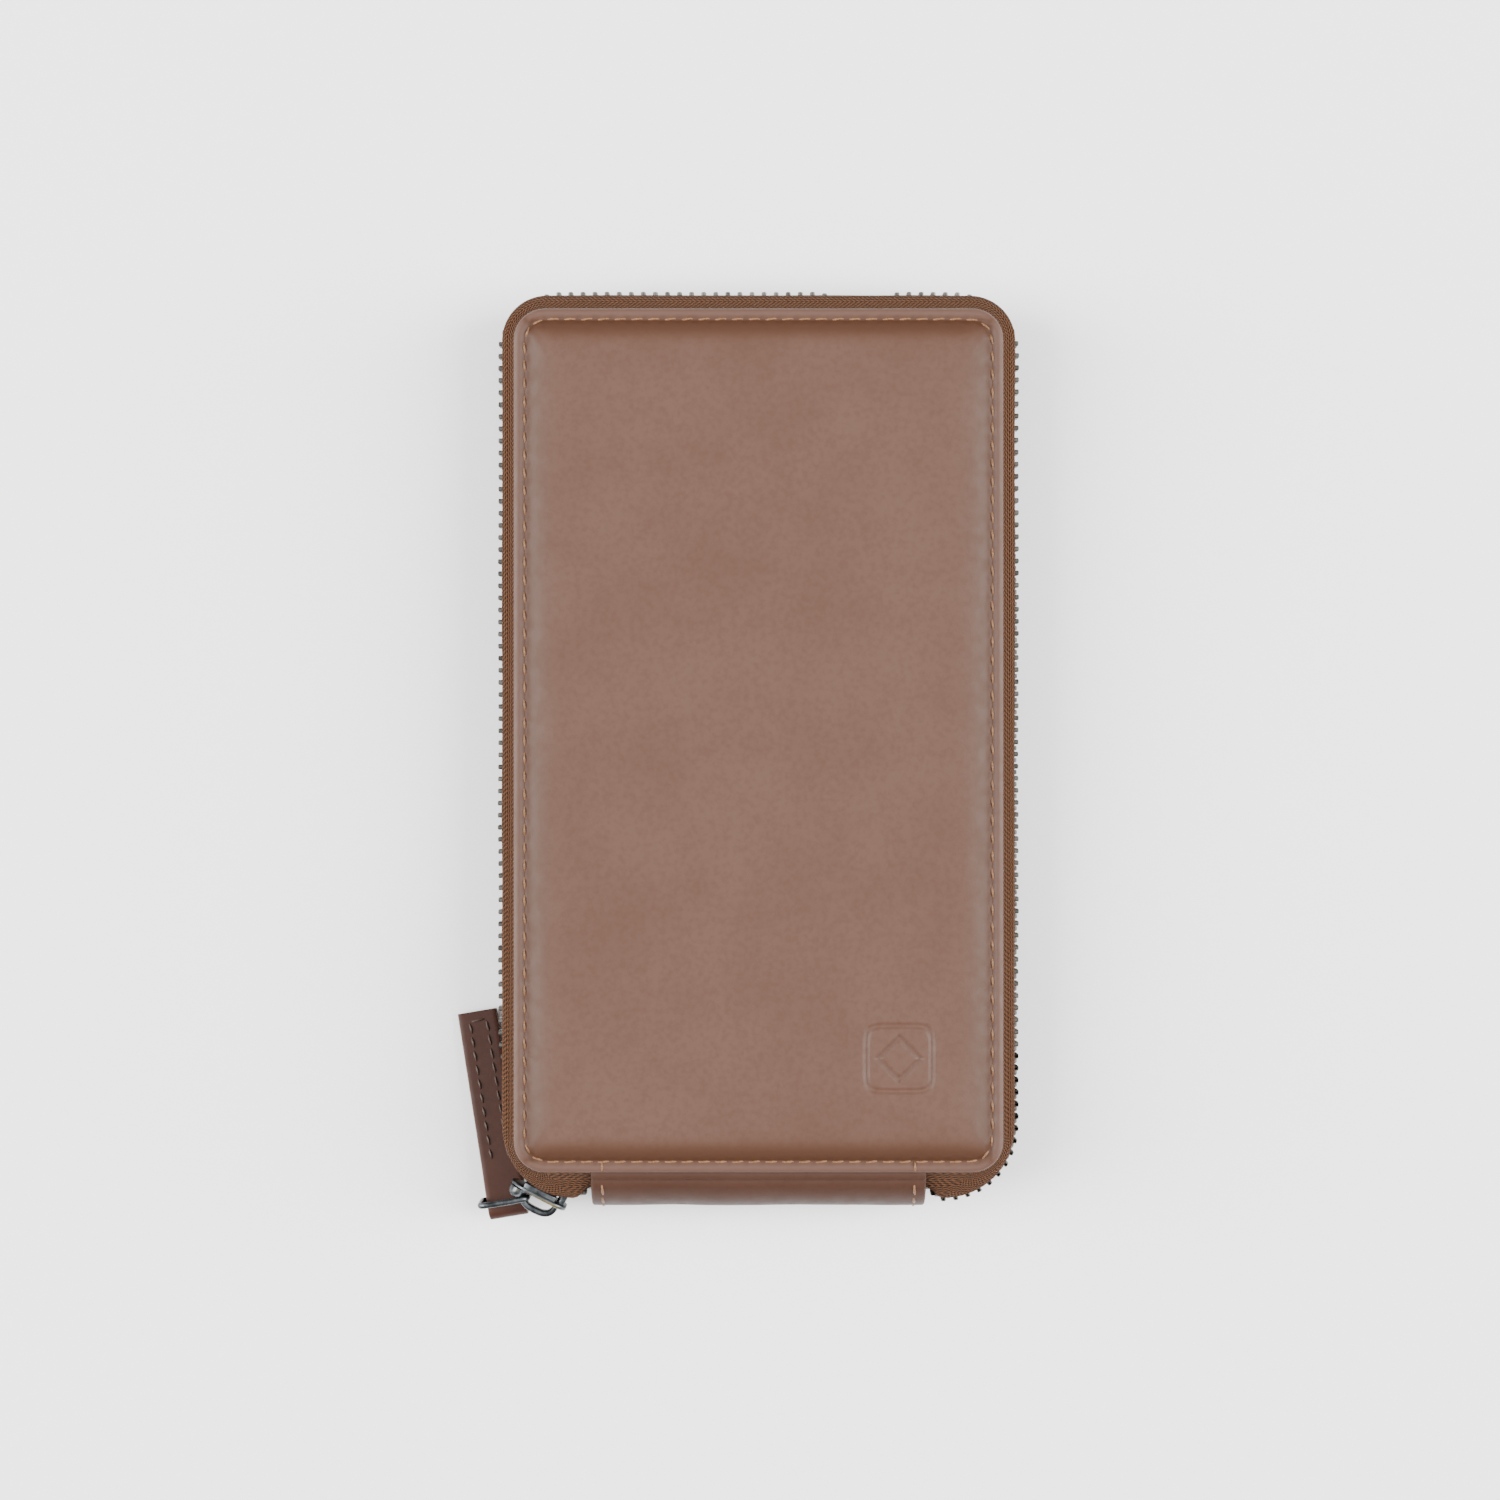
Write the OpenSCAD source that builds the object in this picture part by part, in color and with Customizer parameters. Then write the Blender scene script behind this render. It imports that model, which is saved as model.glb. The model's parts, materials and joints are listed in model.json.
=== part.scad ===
// Zip-around leather pouch: two padded covers joined by a leather spine along one short edge,
// closed by a metal zip round the other three sides, with a slider, a ring and a leather pull tab.
// Frame: +Z up, +X right, +Y away from the spine. The origin is the middle of the face it lies on.

/* [Covers] */
// Width of a cover, left to right
cover_w = 102; // [84:1:128]
// Length of a cover, from the spine edge to the far edge
cover_l = 180; // [145:1:220]
// Radius of the cover's corners
cover_corner_r = 6.5; // [5:0.5:8]
// Thickness of the closed pouch
pouch_h = 26; // [24:0.5:34]
// Height of the padded crown above the rim
crown_rise = 2.2; // [1.8:0.1:3]
// Width of the flat rim, from the edge to the foot of the crown
rim_w = 4.2; // [3.6:0.2:5]
// Width of the crown's sloping shoulder
shoulder_w = 6; // [4:0.5:9]
// Thickness of the cover leather
leather_t = 1.4; // [1:0.1:1.8]
// Thickness of the stiff board inside a cover
board_t = 0.6; // [0.4:0.1:1]
// Thickness of the lining panel
lining_t = 1.2; // [0.8:0.1:1.5]

/* [Stitching] */
// Distance of the seam from the cover's edge
stitch_inset = 2.3; // [2:0.1:3]
// Width of a run of thread
thread_w = 0.6; // [0.4:0.1:0.8]
// Height of a run of thread above the leather
thread_h = 0.25; // [0.15:0.05:0.3]

/* [Zip] */
// How far the tape stands beyond the cover at the sides
tape_out_side = 2.8; // [2.4:0.1:3.4]
// How far the tape stands beyond the cover at the far edge
tape_out_far = 3.4; // [2.4:0.1:4]
// How far the tape stands beyond the cover at the spine edge
tape_out_spine = 6; // [5:0.1:6.5]
// Radius of the tape round the two far corners
track_far_r = 9.5; // [8:0.5:12]
// Radius of the tape round the two corners beside the spine
track_spine_r = 15; // [14:0.5:16]
// Thickness of the woven tape
tape_t = 0.6; // [0.4:0.1:0.8]
// Width of the tape's flange, sewn in between the cover and its lining
flange_w = 5; // [4:0.5:5.5]
// Distance from one tooth to the next on one tape
tooth_pitch = 2.54; // [2.4:0.02:3]
// Thickness of a tooth along the zip
tooth_t = 1.0; // [0.8:0.05:1.05]
// Depth of a tooth through the tape
tooth_depth = 2.4; // [2:0.1:2.6]
// Height of a tooth, from the ends of its legs to its head
tooth_h = 4.5; // [4:0.1:4.8]
// How far the heads of the two rows reach past each other
tooth_mesh = 1.8; // [1.4:0.1:2]

/* [Spine] */
// Width of the spine strip
spine_w = 70; // [50:1:72]
// How far the spine strip stands out from the covers
spine_out = 8; // [6:0.5:9]
// Thickness of the spine's lining
spine_lining_t = 0.8; // [0.5:0.1:1]
// Free gap between a cover's edge and the edge of the spine
hinge_gap = 0.4; // [0.3:0.1:0.8]
// Distance of the spine's stitching from its ends
spine_stitch_inset = 2.4; // [2:0.1:4]

/* [Pockets] */
// Width of the pocket and card slot panels
pocket_w = 90; // [70:1:92]
// Height of the slip pocket in the back cover
pocket_l = 112; // [70:1:125]
// Distance of the pockets from the spine edge of the cover
pocket_margin = 7; // [5:0.5:10]
// Thickness of a pocket panel
pocket_t = 0.8; // [0.6:0.1:1]
// Height of the deepest card slot
slot_l = 92; // [80:1:100]
// Step from one card slot's mouth to the next
slot_step = 13; // [10:1:16]
// Width of the sewn border that joins a pocket to what is behind it
pocket_border = 3; // [2:0.5:5]
// Gap behind a pocket panel, where a card or a note goes
pocket_gap = 0.3; // [0.2:0.1:0.6]

/* [Slider] */
// Direction of the slider from the middle of the corner that it stands on, in degrees
slider_angle = 243; // [240:1:246]
// Length of the slider along the zip
slider_l = 13; // [11:0.5:14]
// Height of the slider across the zip
slider_h = 10; // [9.6:0.1:10.4]
// Thickness of the slider's plates
plate_t = 0.9; // [0.7:0.1:1.2]
// Running clearance between the slider and the teeth
slider_clear = 0.23; // [0.15:0.02:0.4]
// Length of the eye under the slider's bridge
eye_l = 6.2; // [5:0.1:7]
// Clear height of the eye under the slider's bridge
eye_h = 2.4; // [2:0.1:3]
// Thickness of the bridge's strap
bridge_t = 1.1; // [0.9:0.1:1.4]
// Width of the bridge's strap
bridge_w = 2.6; // [2:0.1:3.4]

/* [Pull] */
// Length of the ring between the middles of its end bars
ring_l = 10.2; // [9.6:0.1:12]
// Height of the ring between the middles of its long bars
ring_h = 9; // [8.6:0.1:10]
// Thickness of the ring's wire
wire_d = 1; // [0.8:0.1:1.2]
// Direction of the ring from the bridge, in degrees
ring_dir = 189.5; // [187:0.5:192]
// Width of the leather pull tab
tab_w = 8.4; // [7:0.1:8.6]
// Length of the pull tab from the ring to its free end
tab_l = 40; // [30:1:55]
// Thickness of one layer of the tab
tab_t = 1.3; // [1:0.1:1.4]
// Clearance between the tab's fold and the wire
fold_clear = 0.3; // [0.2:0.05:0.5]

/* [Hidden] */

cover_leather = [0.576, 0.451, 0.400];
spine_brown = [0.431, 0.314, 0.259];
tape_brown = [0.42, 0.31, 0.24];
tab_brown = [0.27, 0.165, 0.12];
lining_brown = [0.35, 0.27, 0.22];
thread_tan = [0.72, 0.60, 0.48];
tooth_brass = [0.50, 0.44, 0.33];
slider_brass = [0.46, 0.41, 0.31];
foam_cream = [0.85, 0.82, 0.72];
board_grey = [0.60, 0.58, 0.54];

eps = 0.01;
layer_gap = 0.05;              // free gap between the pad and the leather round it
corner_steps = 10;             // straight pieces in a quarter turn of an outline
mid_z = pouch_h / 2;

// Heights of the layers of the back cover, from its resting face up. The front cover mirrors them.
rim_z = crown_rise;
tape_z = rim_z + leather_t;
lining_z = tape_z + max(tape_t, board_t);
inside_z = lining_z + lining_t;

// The zip's track: the outer face of the tape, seen from above
track_x = cover_w / 2 + tape_out_side;
track_far = cover_l / 2 + tape_out_far;
track_spine = -cover_l / 2 - tape_out_spine;
tape_end_x = spine_w / 2 + 1;
arc_x = track_x - track_spine_r;           // middles of the corners beside the spine
arc_y = track_spine + track_spine_r;
far_x = track_x - track_far_r;             // middles of the far corners
far_y = track_far - track_far_r;

// The tape leaves the rim, stands out to the track below the slider's height and ends in the teeth
tape_turn_z = inside_z + 0.4;
tape_out_z = mid_z - slider_h / 2 - 0.6;
tooth_head_z = mid_z + tooth_mesh / 2;
tooth_leg_z = tooth_head_z - tooth_h;
tape_edge_z = tooth_leg_z + 1.8;

// On the front tape the wall is short near the spine, so that the cover can open past the slider
front_wall_start = arc_y + slider_l / 2 + 0.5;
front_wall_full = front_wall_start + 8;
front_teeth_start = front_wall_full + 2;

// The folds on both sides of the spine
hinge_y = -cover_l / 2 - hinge_gap - leather_t / 2;
hinge_z = lining_z;
spine_half = mid_z - hinge_z;
spine_sag = cover_l / 2 + spine_out - leather_t / 2 + hinge_y;
spine_r = (spine_half * spine_half + spine_sag * spine_sag) / (2 * spine_sag);
spine_mid_y = hinge_y - spine_sag + spine_r;
spine_turn = atan2(spine_half, spine_mid_y - hinge_y);

// The slider stands across the curved chain
chain_r = track_spine_r - tape_t / 2;
chain_bow = chain_r - sqrt(chain_r * chain_r - slider_l * slider_l / 4);
slider_r = chain_r - chain_bow / 2;
slot_half = tooth_depth / 2 + chain_bow / 2 + slider_clear;
lip_half = tape_t / 2 + chain_bow / 2 + 0.35;
plate_out = slot_half + plate_t;
plate_round = 3;
lip_h = 0.9;

// The ring's end bar stands in the end of the eye that is nearest the pull tab
bar_out = plate_out + eye_h / 2;
bar_along = -1.8;
eye_mid = bar_along - wire_d / 2 - 0.2 + eye_l / 2;
bar_x = -arc_x + (slider_r + bar_out) * cos(slider_angle) - bar_along * sin(slider_angle);
bar_y = arc_y + (slider_r + bar_out) * sin(slider_angle) + bar_along * cos(slider_angle);
ring_top = mid_z + bridge_w / 2 + 0.3 + wire_d / 2;
ring_low = ring_top - ring_h;
ring_bend = 1.2;
wire_sides = 10;

// The tab hangs on the ring's low bar and its free end comes down to the table
fold_r = wire_d / 2 + fold_clear;
loop_l = 8;
tab_droop = asin((ring_low - tab_t - thread_h - 0.4) / tab_l);

function arc_points(c, r, from, to, steps) =
  [for (i = [0:steps]) let (a = from + (to - from) * i / steps) c + r * [cos(a), sin(a)]];

// Rounded outline of a cover, drawn in by inset
function cover_outline(inset) =
  let (
    r = max(cover_corner_r - inset, 0.8),
    x = cover_w / 2 - inset - r,
    y = cover_l / 2 - inset - r
  )
  concat(
    arc_points([x, y], r, 0, 90, corner_steps),
    arc_points([-x, y], r, 90, 180, corner_steps),
    arc_points([-x, -y], r, 180, 270, corner_steps),
    arc_points([x, -y], r, 270, 360, corner_steps)
  );

// A station of the tape: a point of the cover's edge, a point of the track, and their outward normal
function corner_station(side, far, a) =
  let (
    n = [cos(a), sin(a)],
    edge_r = cover_corner_r,
    edge = [side * (cover_w / 2 - edge_r), (far ? 1 : -1) * (cover_l / 2 - edge_r)],
    mid = far ? [side * far_x, far_y] : [side * arc_x, arc_y]
  )
  [edge + edge_r * n, mid + (far ? track_far_r : track_spine_r) * n, n];
function side_station(side, y) = [[side * cover_w / 2, y], [side * track_x, y], [side, 0]];
function end_station(side) = [[side * tape_end_x, -cover_l / 2], [side * tape_end_x, track_spine], [0, -1]];

function quarter(side, far, from, to) =
  [for (i = [0:corner_steps]) corner_station(side, far, from + (to - from) * i / corner_steps)];

// Each entry is [station, share of the wall's full reach]
function tape_stations(full) =
  concat(
    [[end_station(-1), full ? 1 : 0]],
    [for (s = quarter(-1, false, 270, 180)) [s, full ? 1 : 0]],
    full ? [] : [[side_station(-1, front_wall_start), 0], [side_station(-1, front_wall_full), 1]],
    [for (s = quarter(-1, true, 180, 90)) [s, 1]],
    [for (s = quarter(1, true, 90, 0)) [s, 1]],
    full ? [] : [[side_station(1, front_wall_full), 1], [side_station(1, front_wall_start), 0]],
    [for (s = quarter(1, false, 0, -90)) [s, full ? 1 : 0]],
    [[end_station(1), full ? 1 : 0]]
  );

// Section of the tape: [share of the way from the cover's edge to the track, offset, height]
function tape_section(reach) =
  let (
    short_z = tape_turn_z + 1.5,
    out_z = tape_turn_z + 0.5 + (tape_out_z - tape_turn_z - 0.5) * reach,
    edge_z = short_z + (tape_edge_z - short_z) * reach
  )
  [
    [0, -flange_w, tape_z], [0, 0, tape_z], [0, 0, tape_turn_z], [reach, 0, out_z],
    [reach, 0, edge_z], [reach, -tape_t, edge_z], [reach, -tape_t, out_z + tape_t / 2],
    [0, -tape_t, tape_turn_z + tape_t / 2], [0, -tape_t, tape_z + tape_t],
    [0, -flange_w, tape_z + tape_t],
  ];

function tape_point(station, row) =
  let (
    edge = station[0] + row[1] * station[2],
    track = station[1] + row[1] * station[2],
    p = edge + row[0] * (track - edge)
  )
  [p[0], p[1], row[2]];

// Half of the track's length, and the place and outward direction at a distance from its left end
run_end = arc_x - tape_end_x;
run_arc = run_end + chain_r * PI / 2;
run_side = run_arc + far_y - arc_y;
far_chain_r = track_far_r - tape_t / 2;
run_far = run_side + far_chain_r * PI / 2;
run_half = run_far + far_x;

function chain_left(s) =
  s < run_end ? [-tape_end_x - s, track_spine + tape_t / 2, 270] :
  s < run_arc ?
    let (a = 270 - (s - run_end) / chain_r * 180 / PI)
    [-arc_x + chain_r * cos(a), arc_y + chain_r * sin(a), a] :
  s < run_side ? [-track_x + tape_t / 2, arc_y + s - run_arc, 180] :
  s < run_far ?
    let (a = 180 - (s - run_side) / far_chain_r * 180 / PI)
    [-far_x + far_chain_r * cos(a), far_y + far_chain_r * sin(a), a] :
  [-far_x + s - run_far, track_far - tape_t / 2, 90];
function chain_at(s) =
  s <= run_half ? chain_left(s) :
  let (p = chain_left(2 * run_half - s)) [-p[0], p[1], 180 - p[2]];

module flip() {
  translate([0, 0, pouch_h]) mirror([0, 0, 1]) children();
}

module slab(inset, low, high) {
  translate([0, 0, low]) linear_extrude(high - low) polygon(cover_outline(inset));
}

// Crown from the rim's inner edge down to its flat face, drawn in by inset
module crown(inset, flat_z, top_z) {
  hull() {
    slab(rim_w + shoulder_w, flat_z, flat_z + 0.2);
    slab(rim_w + inset, max(rim_z, flat_z + 0.4), top_z);
  }
}

module cover_leather_shell() {
  difference() {
    union() {
      slab(0, rim_z, tape_z);
      crown(0, 0, tape_z);
    }
    crown(leather_t, leather_t, tape_z + 1);
  }
}

module pad() {
  crown(leather_t + layer_gap, leather_t + layer_gap, tape_z);
}

module board() {
  slab(flange_w + 0.4, tape_z, tape_z + board_t);
}

module lining() {
  slab(tape_t + 0.3, lining_z, inside_z);
}

module seam_thread() {
  translate([0, 0, rim_z - thread_h]) linear_extrude(thread_h)
    difference() {
      polygon(cover_outline(stitch_inset - thread_w / 2));
      polygon(cover_outline(stitch_inset + thread_w / 2));
    }
}

// The tape as one sweep of its section along the stations
module zip_tape(full) {
  stations = tape_stations(full);
  n = len(tape_section(1));
  points = [for (s = stations) for (row = tape_section(s[1])) tape_point(s[0], row)];
  sides = [
    for (i = [0:len(stations) - 2]) for (j = [0:n - 1])
      let (a = i * n + j, b = i * n + (j + 1) % n)
      each [[a, b, b + n], [a, b + n, a + n]]
  ];
  first = [for (j = [n - 1:-1:0]) j];
  last = [for (j = [0:n - 1]) (len(stations) - 1) * n + j];
  polyhedron(points, concat(sides, [first, last]));
}

// One tooth, seen along the zip: two legs over the tape's edge and a head
module tooth() {
  d = tooth_depth / 2;
  slot = tape_t / 2 + 2 * layer_gap;
  rotate([90, 0, 0]) linear_extrude(tooth_t, center = true)
    polygon([
      [-d, tooth_leg_z], [-slot, tooth_leg_z], [-slot, tape_edge_z + layer_gap],
      [slot, tape_edge_z + layer_gap], [slot, tooth_leg_z], [d, tooth_leg_z],
      [d, tooth_head_z - 1.5], [d - 0.45, tooth_head_z], [0.45 - d, tooth_head_z],
      [-d, tooth_head_z - 1.5],
    ]);
}

// Teeth from a distance along the track to the same distance from its other end
module teeth(from, shift) {
  for (s = [shift:tooth_pitch:2 * run_half])
    if (s > from && s < 2 * run_half - from) {
      at = chain_at(s);
      translate([at[0], at[1], 0]) rotate([0, 0, at[2]]) tooth();
    }
}

// A flat pocket: a panel over a sewn border that is open at its far side
module pocket(length, level) {
  base = inside_z + level * (pocket_gap + pocket_t);
  y = -cover_l / 2 + pocket_margin;
  translate([-pocket_w / 2, y, base]) {
    translate([0, 0, pocket_gap]) cube([pocket_w, length, pocket_t]);
    cube([pocket_w, pocket_border, pocket_gap]);
    cube([pocket_border, length, pocket_gap]);
    translate([pocket_w - pocket_border, 0, 0]) cube([pocket_border, length, pocket_gap]);
  }
}

// A strip bent round the spine's curve, between two radii, with ends drawn in by trim degrees
module spine_strip(width, r_in, r_out, trim) {
  a = 180 + spine_turn - trim;
  b = 180 - spine_turn + trim;
  c = [spine_mid_y, mid_z];
  rotate([90, 0, 90]) linear_extrude(width, center = true)
    polygon(concat(arc_points(c, r_out, a, b, 24), arc_points(c, r_in, b, a, 24)));
}

// Round edge of the spine leather on one fold line
module spine_edge(z) {
  translate([0, hinge_y, z]) rotate([0, 90, 0]) cylinder(d = leather_t, h = spine_w, center = true, $fn = 24);
}

module place_slider() {
  translate([-arc_x, arc_y, mid_z]) rotate([0, 0, slider_angle]) translate([slider_r, 0, 0]) children();
}

// One plate of the slider, rounded at its corners, with its inner face at x = 0
module slider_plate() {
  u = slider_l / 2 - plate_round;
  v = slider_h / 2 - plate_round;
  rotate([90, 0, 90]) linear_extrude(plate_t)
    polygon(concat(
      arc_points([u, v], plate_round, 0, 90, 6), arc_points([-u, v], plate_round, 90, 180, 6),
      arc_points([-u, -v], plate_round, 180, 270, 6), arc_points([u, -v], plate_round, 270, 360, 6)
    ));
}

// The lips that keep the tape between the plates
module slider_lips() {
  lip_l = slider_l - 2 * plate_round;
  for (up = [0, 1])
    mirror([0, 0, up])
      translate([lip_half, -lip_l / 2, slider_h / 2 - lip_h])
        cube([slot_half - lip_half + eps, lip_l, lip_h]);
}

// The post between the plates, above the back row of teeth
module slider_post() {
  low = tooth_head_z - mid_z + 0.4;
  high = slider_h / 2 - lip_h - 0.3;
  translate([-slot_half - eps, slider_l / 2 - 2.6, low])
    cube([2 * (slot_half + eps), 1.8, high - low]);
}

// Outline of the ring's centre line: [point, outward direction]
function ring_stations() =
  let (x = ring_l / 2 - ring_bend, z = ring_h / 2 - ring_bend, n = 4)
  [
    for (k = [0:3]) for (i = [0:n])
      let (
        a = 90 * k + 90 * i / n,
        m = [(k == 0 || k == 3 ? 1 : -1) * x, (k < 2 ? 1 : -1) * z]
      )
      [m + ring_bend * [cos(a), sin(a)], a]
  ];

module place_ring() {
  translate([bar_x, bar_y, 0]) rotate([0, 0, ring_dir]) children();
}

// The tab's frame: origin on the low bar, +Y towards its free end, +Z out of its upper face
module place_tab() {
  place_ring() translate([ring_l / 2, 0, ring_low]) rotate([-tab_droop, 0, 180]) children();
}

module tab_profile() {
  difference() {
    polygon(concat(
      arc_points([0, 0], fold_r + tab_t, 90, 270, 12),
      [[loop_l, -tab_t], [tab_l, -tab_t], [tab_l, tab_t], [loop_l, tab_t]]
    ));
    polygon(concat(arc_points([0, 0], fold_r, 70, 290, 12), [[loop_l - 2, 0]]));
  }
}

module tab_thread_run() {
  inset = 1.5;
  x = tab_w / 2 - inset;
  far = tab_l - inset;
  linear_extrude(thread_h)
    polygon([
      [-x, loop_l], [-x, far], [x, far], [x, loop_l], [x - thread_w, loop_l],
      [x - thread_w, far - thread_w], [thread_w - x, far - thread_w], [thread_w - x, loop_l],
    ]);
}

module back_cover() { color(cover_leather) cover_leather_shell(); }
module back_pad() { color(foam_cream) pad(); }
module back_board() { color(board_grey) board(); }
module back_lining() { color(lining_brown) lining(); }
module back_seam_thread() { color(thread_tan) seam_thread(); }
module back_zip_tape() { color(tape_brown) zip_tape(true); }
module back_zip_teeth() { color(tooth_brass) teeth(0.8, tooth_pitch / 2); }
module back_slip_pocket() { color(lining_brown) pocket(pocket_l, 0); }

module spine_leather() {
  color(spine_brown) {
    spine_strip(spine_w, spine_r - leather_t / 2, spine_r + leather_t / 2, 0);
    spine_edge(hinge_z);
    spine_edge(pouch_h - hinge_z);
  }
}
module spine_lining() {
  r = spine_r - leather_t / 2 - layer_gap;
  color(lining_brown) spine_strip(spine_w - 2, r - spine_lining_t, r, 9);
}
module spine_thread() {
  r = spine_r + leather_t / 2;
  for (side = [-1, 1])
    color(thread_tan)
      translate([side * (spine_w / 2 - spine_stitch_inset), 0, 0])
        spine_strip(thread_w, r, r + thread_h, 20);
}

module front_cover() { color(cover_leather) flip() cover_leather_shell(); }
module front_pad() { color(foam_cream) flip() pad(); }
module front_board() { color(board_grey) flip() board(); }
module front_lining() { color(lining_brown) flip() lining(); }
module front_seam_thread() { color(thread_tan) flip() seam_thread(); }
module front_zip_tape() { color(tape_brown) flip() zip_tape(false); }
module front_zip_teeth() {
  color(tooth_brass) flip() teeth(run_arc + front_teeth_start - arc_y, tooth_pitch);
}
module card_slot_1() { color(lining_brown) flip() pocket(slot_l, 0); }
module card_slot_2() { color(lining_brown) flip() pocket(slot_l - slot_step, 1); }
module card_slot_3() { color(lining_brown) flip() pocket(slot_l - 2 * slot_step, 2); }

module slider_body() {
  color(slider_brass) place_slider() {
    for (side = [0, 1])
      mirror([side, 0, 0]) {
        translate([slot_half, 0, 0]) slider_plate();
        slider_lips();
      }
    slider_post();
  }
}
module slider_bridge() {
  reach = eye_l / 2 + bridge_t;
  top = eye_h + bridge_t;
  color(slider_brass) place_slider()
    translate([plate_out, eye_mid, 0]) linear_extrude(bridge_w, center = true)
      difference() {
        polygon([[0, -reach], [top - 1, -reach], [top, 1 - reach], [top, reach - 1], [top - 1, reach], [0, reach]]);
        translate([0, -eye_l / 2]) square([eye_h, eye_l]);
      }
}

module pull_ring() {
  stations = ring_stations();
  count = len(stations);
  points = [
    for (s = stations) for (j = [0:wire_sides - 1])
      let (b = 360 * j / wire_sides, r = wire_d / 2 * cos(b))
      [s[0][0] + r * cos(s[1]), wire_d / 2 * sin(b), s[0][1] + r * sin(s[1])]
  ];
  faces = [
    for (i = [0:count - 1]) for (j = [0:wire_sides - 1])
      let (
        a = i * wire_sides + j,
        b = i * wire_sides + (j + 1) % wire_sides,
        c = (i + 1) % count * wire_sides + (j + 1) % wire_sides,
        d = (i + 1) % count * wire_sides + j
      )
      each [[a, b, c], [a, c, d]]
  ];
  color(slider_brass) place_ring()
    translate([ring_l / 2, 0, (ring_low + ring_top) / 2]) polyhedron(points, faces);
}

module pull_tab() {
  color(tab_brown) place_tab() rotate([90, 0, 90]) linear_extrude(tab_w, center = true) tab_profile();
}
module pull_tab_thread() {
  color(thread_tan) place_tab() for (side = [0, 1]) mirror([0, 0, side]) translate([0, 0, tab_t]) tab_thread_run();
}

back_cover();
back_pad();
back_board();
back_lining();
back_seam_thread();
back_zip_tape();
back_zip_teeth();
back_slip_pocket();
spine_leather();
spine_lining();
spine_thread();
front_cover();
front_pad();
front_board();
front_lining();
front_seam_thread();
front_zip_tape();
front_zip_teeth();
card_slot_1();
card_slot_2();
card_slot_3();
slider_body();
slider_bridge();
pull_ring();
pull_tab();
pull_tab_thread();
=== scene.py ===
import json
import math
import random

import bpy
from mathutils import Matrix, Vector, noise


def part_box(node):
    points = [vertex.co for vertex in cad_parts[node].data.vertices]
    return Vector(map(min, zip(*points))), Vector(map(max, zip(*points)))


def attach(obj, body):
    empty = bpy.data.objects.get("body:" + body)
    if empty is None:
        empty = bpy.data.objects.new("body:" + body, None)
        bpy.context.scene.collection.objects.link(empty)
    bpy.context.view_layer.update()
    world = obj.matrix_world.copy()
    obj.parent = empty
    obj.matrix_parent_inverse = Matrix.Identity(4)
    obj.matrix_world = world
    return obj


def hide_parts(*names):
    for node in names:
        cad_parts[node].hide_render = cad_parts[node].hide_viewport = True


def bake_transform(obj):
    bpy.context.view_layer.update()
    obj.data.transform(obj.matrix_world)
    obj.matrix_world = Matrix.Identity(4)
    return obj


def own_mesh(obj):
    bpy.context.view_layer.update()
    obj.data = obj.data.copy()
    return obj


# Looks of a zip-around leather pouch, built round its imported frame.
# Shapes are worked out in millimetres and turned to metres when a mesh is made.
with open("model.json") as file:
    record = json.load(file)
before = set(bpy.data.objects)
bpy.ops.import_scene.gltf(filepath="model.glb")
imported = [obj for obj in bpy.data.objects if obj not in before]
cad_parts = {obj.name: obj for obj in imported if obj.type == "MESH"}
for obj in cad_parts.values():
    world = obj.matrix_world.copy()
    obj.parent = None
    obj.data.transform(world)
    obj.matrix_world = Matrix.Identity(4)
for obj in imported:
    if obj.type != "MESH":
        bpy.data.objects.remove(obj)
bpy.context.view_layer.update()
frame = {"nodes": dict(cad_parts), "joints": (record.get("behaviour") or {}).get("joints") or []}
random.seed(7)

MM = 0.001


def corner_mm(node, which):
    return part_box(node)[which] / MM


def joint_mm(name):
    """The point that a joint turns about, in mm."""
    found = next(j for j in frame["joints"] if j["name"] == name)
    return Vector(found["pos_m"]) / MM


# ---- sizes ----

COVER_X, COVER_Y, TOP_Z = corner_mm("front_cover", 1)
COVER_R = 6.5
MID_Z = TOP_Z / 2
UNDERSIDE_Z = corner_mm("front_board", 1).z
TRACK_X, TRACK_FAR, _ = corner_mm("back_zip_tape", 1)
TRACK_SPINE = corner_mm("back_zip_tape", 0).y
TAPE_END_X = corner_mm("spine_leather", 1).x + 1
FAR_R = 9.5
SPINE_R = 15
TAPE_T = 0.6
ARC_MID = Vector((TRACK_X - SPINE_R, TRACK_SPINE + SPINE_R))
FAR_MID = Vector((TRACK_X - FAR_R, TRACK_FAR - FAR_R))
TOOTH_PITCH = 2.54
TOOTH_T = 1.0
TOOTH_MID_Z = 12.3
FRONT_CHAIN_Y = -65.0        # the front tape's wall stops here, and a bending end piece goes on

SEAM_INSET = 2.3
RING_POINTS_X = 110
RING_POINTS_Y = 188
POINTS_PER_STITCH = 4
HALF_CORNER = 4              # straight pieces in half a corner
CROWN_INSET = 12             # where the crown turns into its flat middle
MARK_MID = Vector((29.2, -66.0))
MARK_HALF = 7.6
MARK_DIAMOND = 3.1           # from the mark's middle to each side of its diamond
MARK_DEPTH = 0.36
MARK_POINTS = 50             # points across the mark, closer together than elsewhere


# ---- small helpers ----

def ease(t):
    """0 below 0, 1 above 1, and smooth between them."""
    t = min(max(t, 0.0), 1.0)
    return t * t * (3 - 2 * t)


def spread(low, high, count):
    return [low + (high - low) * i / count for i in range(count + 1)]


def spread_with_fine(low, high, fine_low, fine_high, fine_count, count):
    """Places from low to high, closer together between fine_low and fine_high."""
    rest = count - fine_count
    before = round(rest * (fine_low - low) / (high - low - (fine_high - fine_low)))
    first = spread(low, fine_low, before)
    middle = spread(fine_low, fine_high, fine_count)
    last = spread(fine_high, high, rest - before)
    return first + middle[1:] + last[1:]


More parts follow.
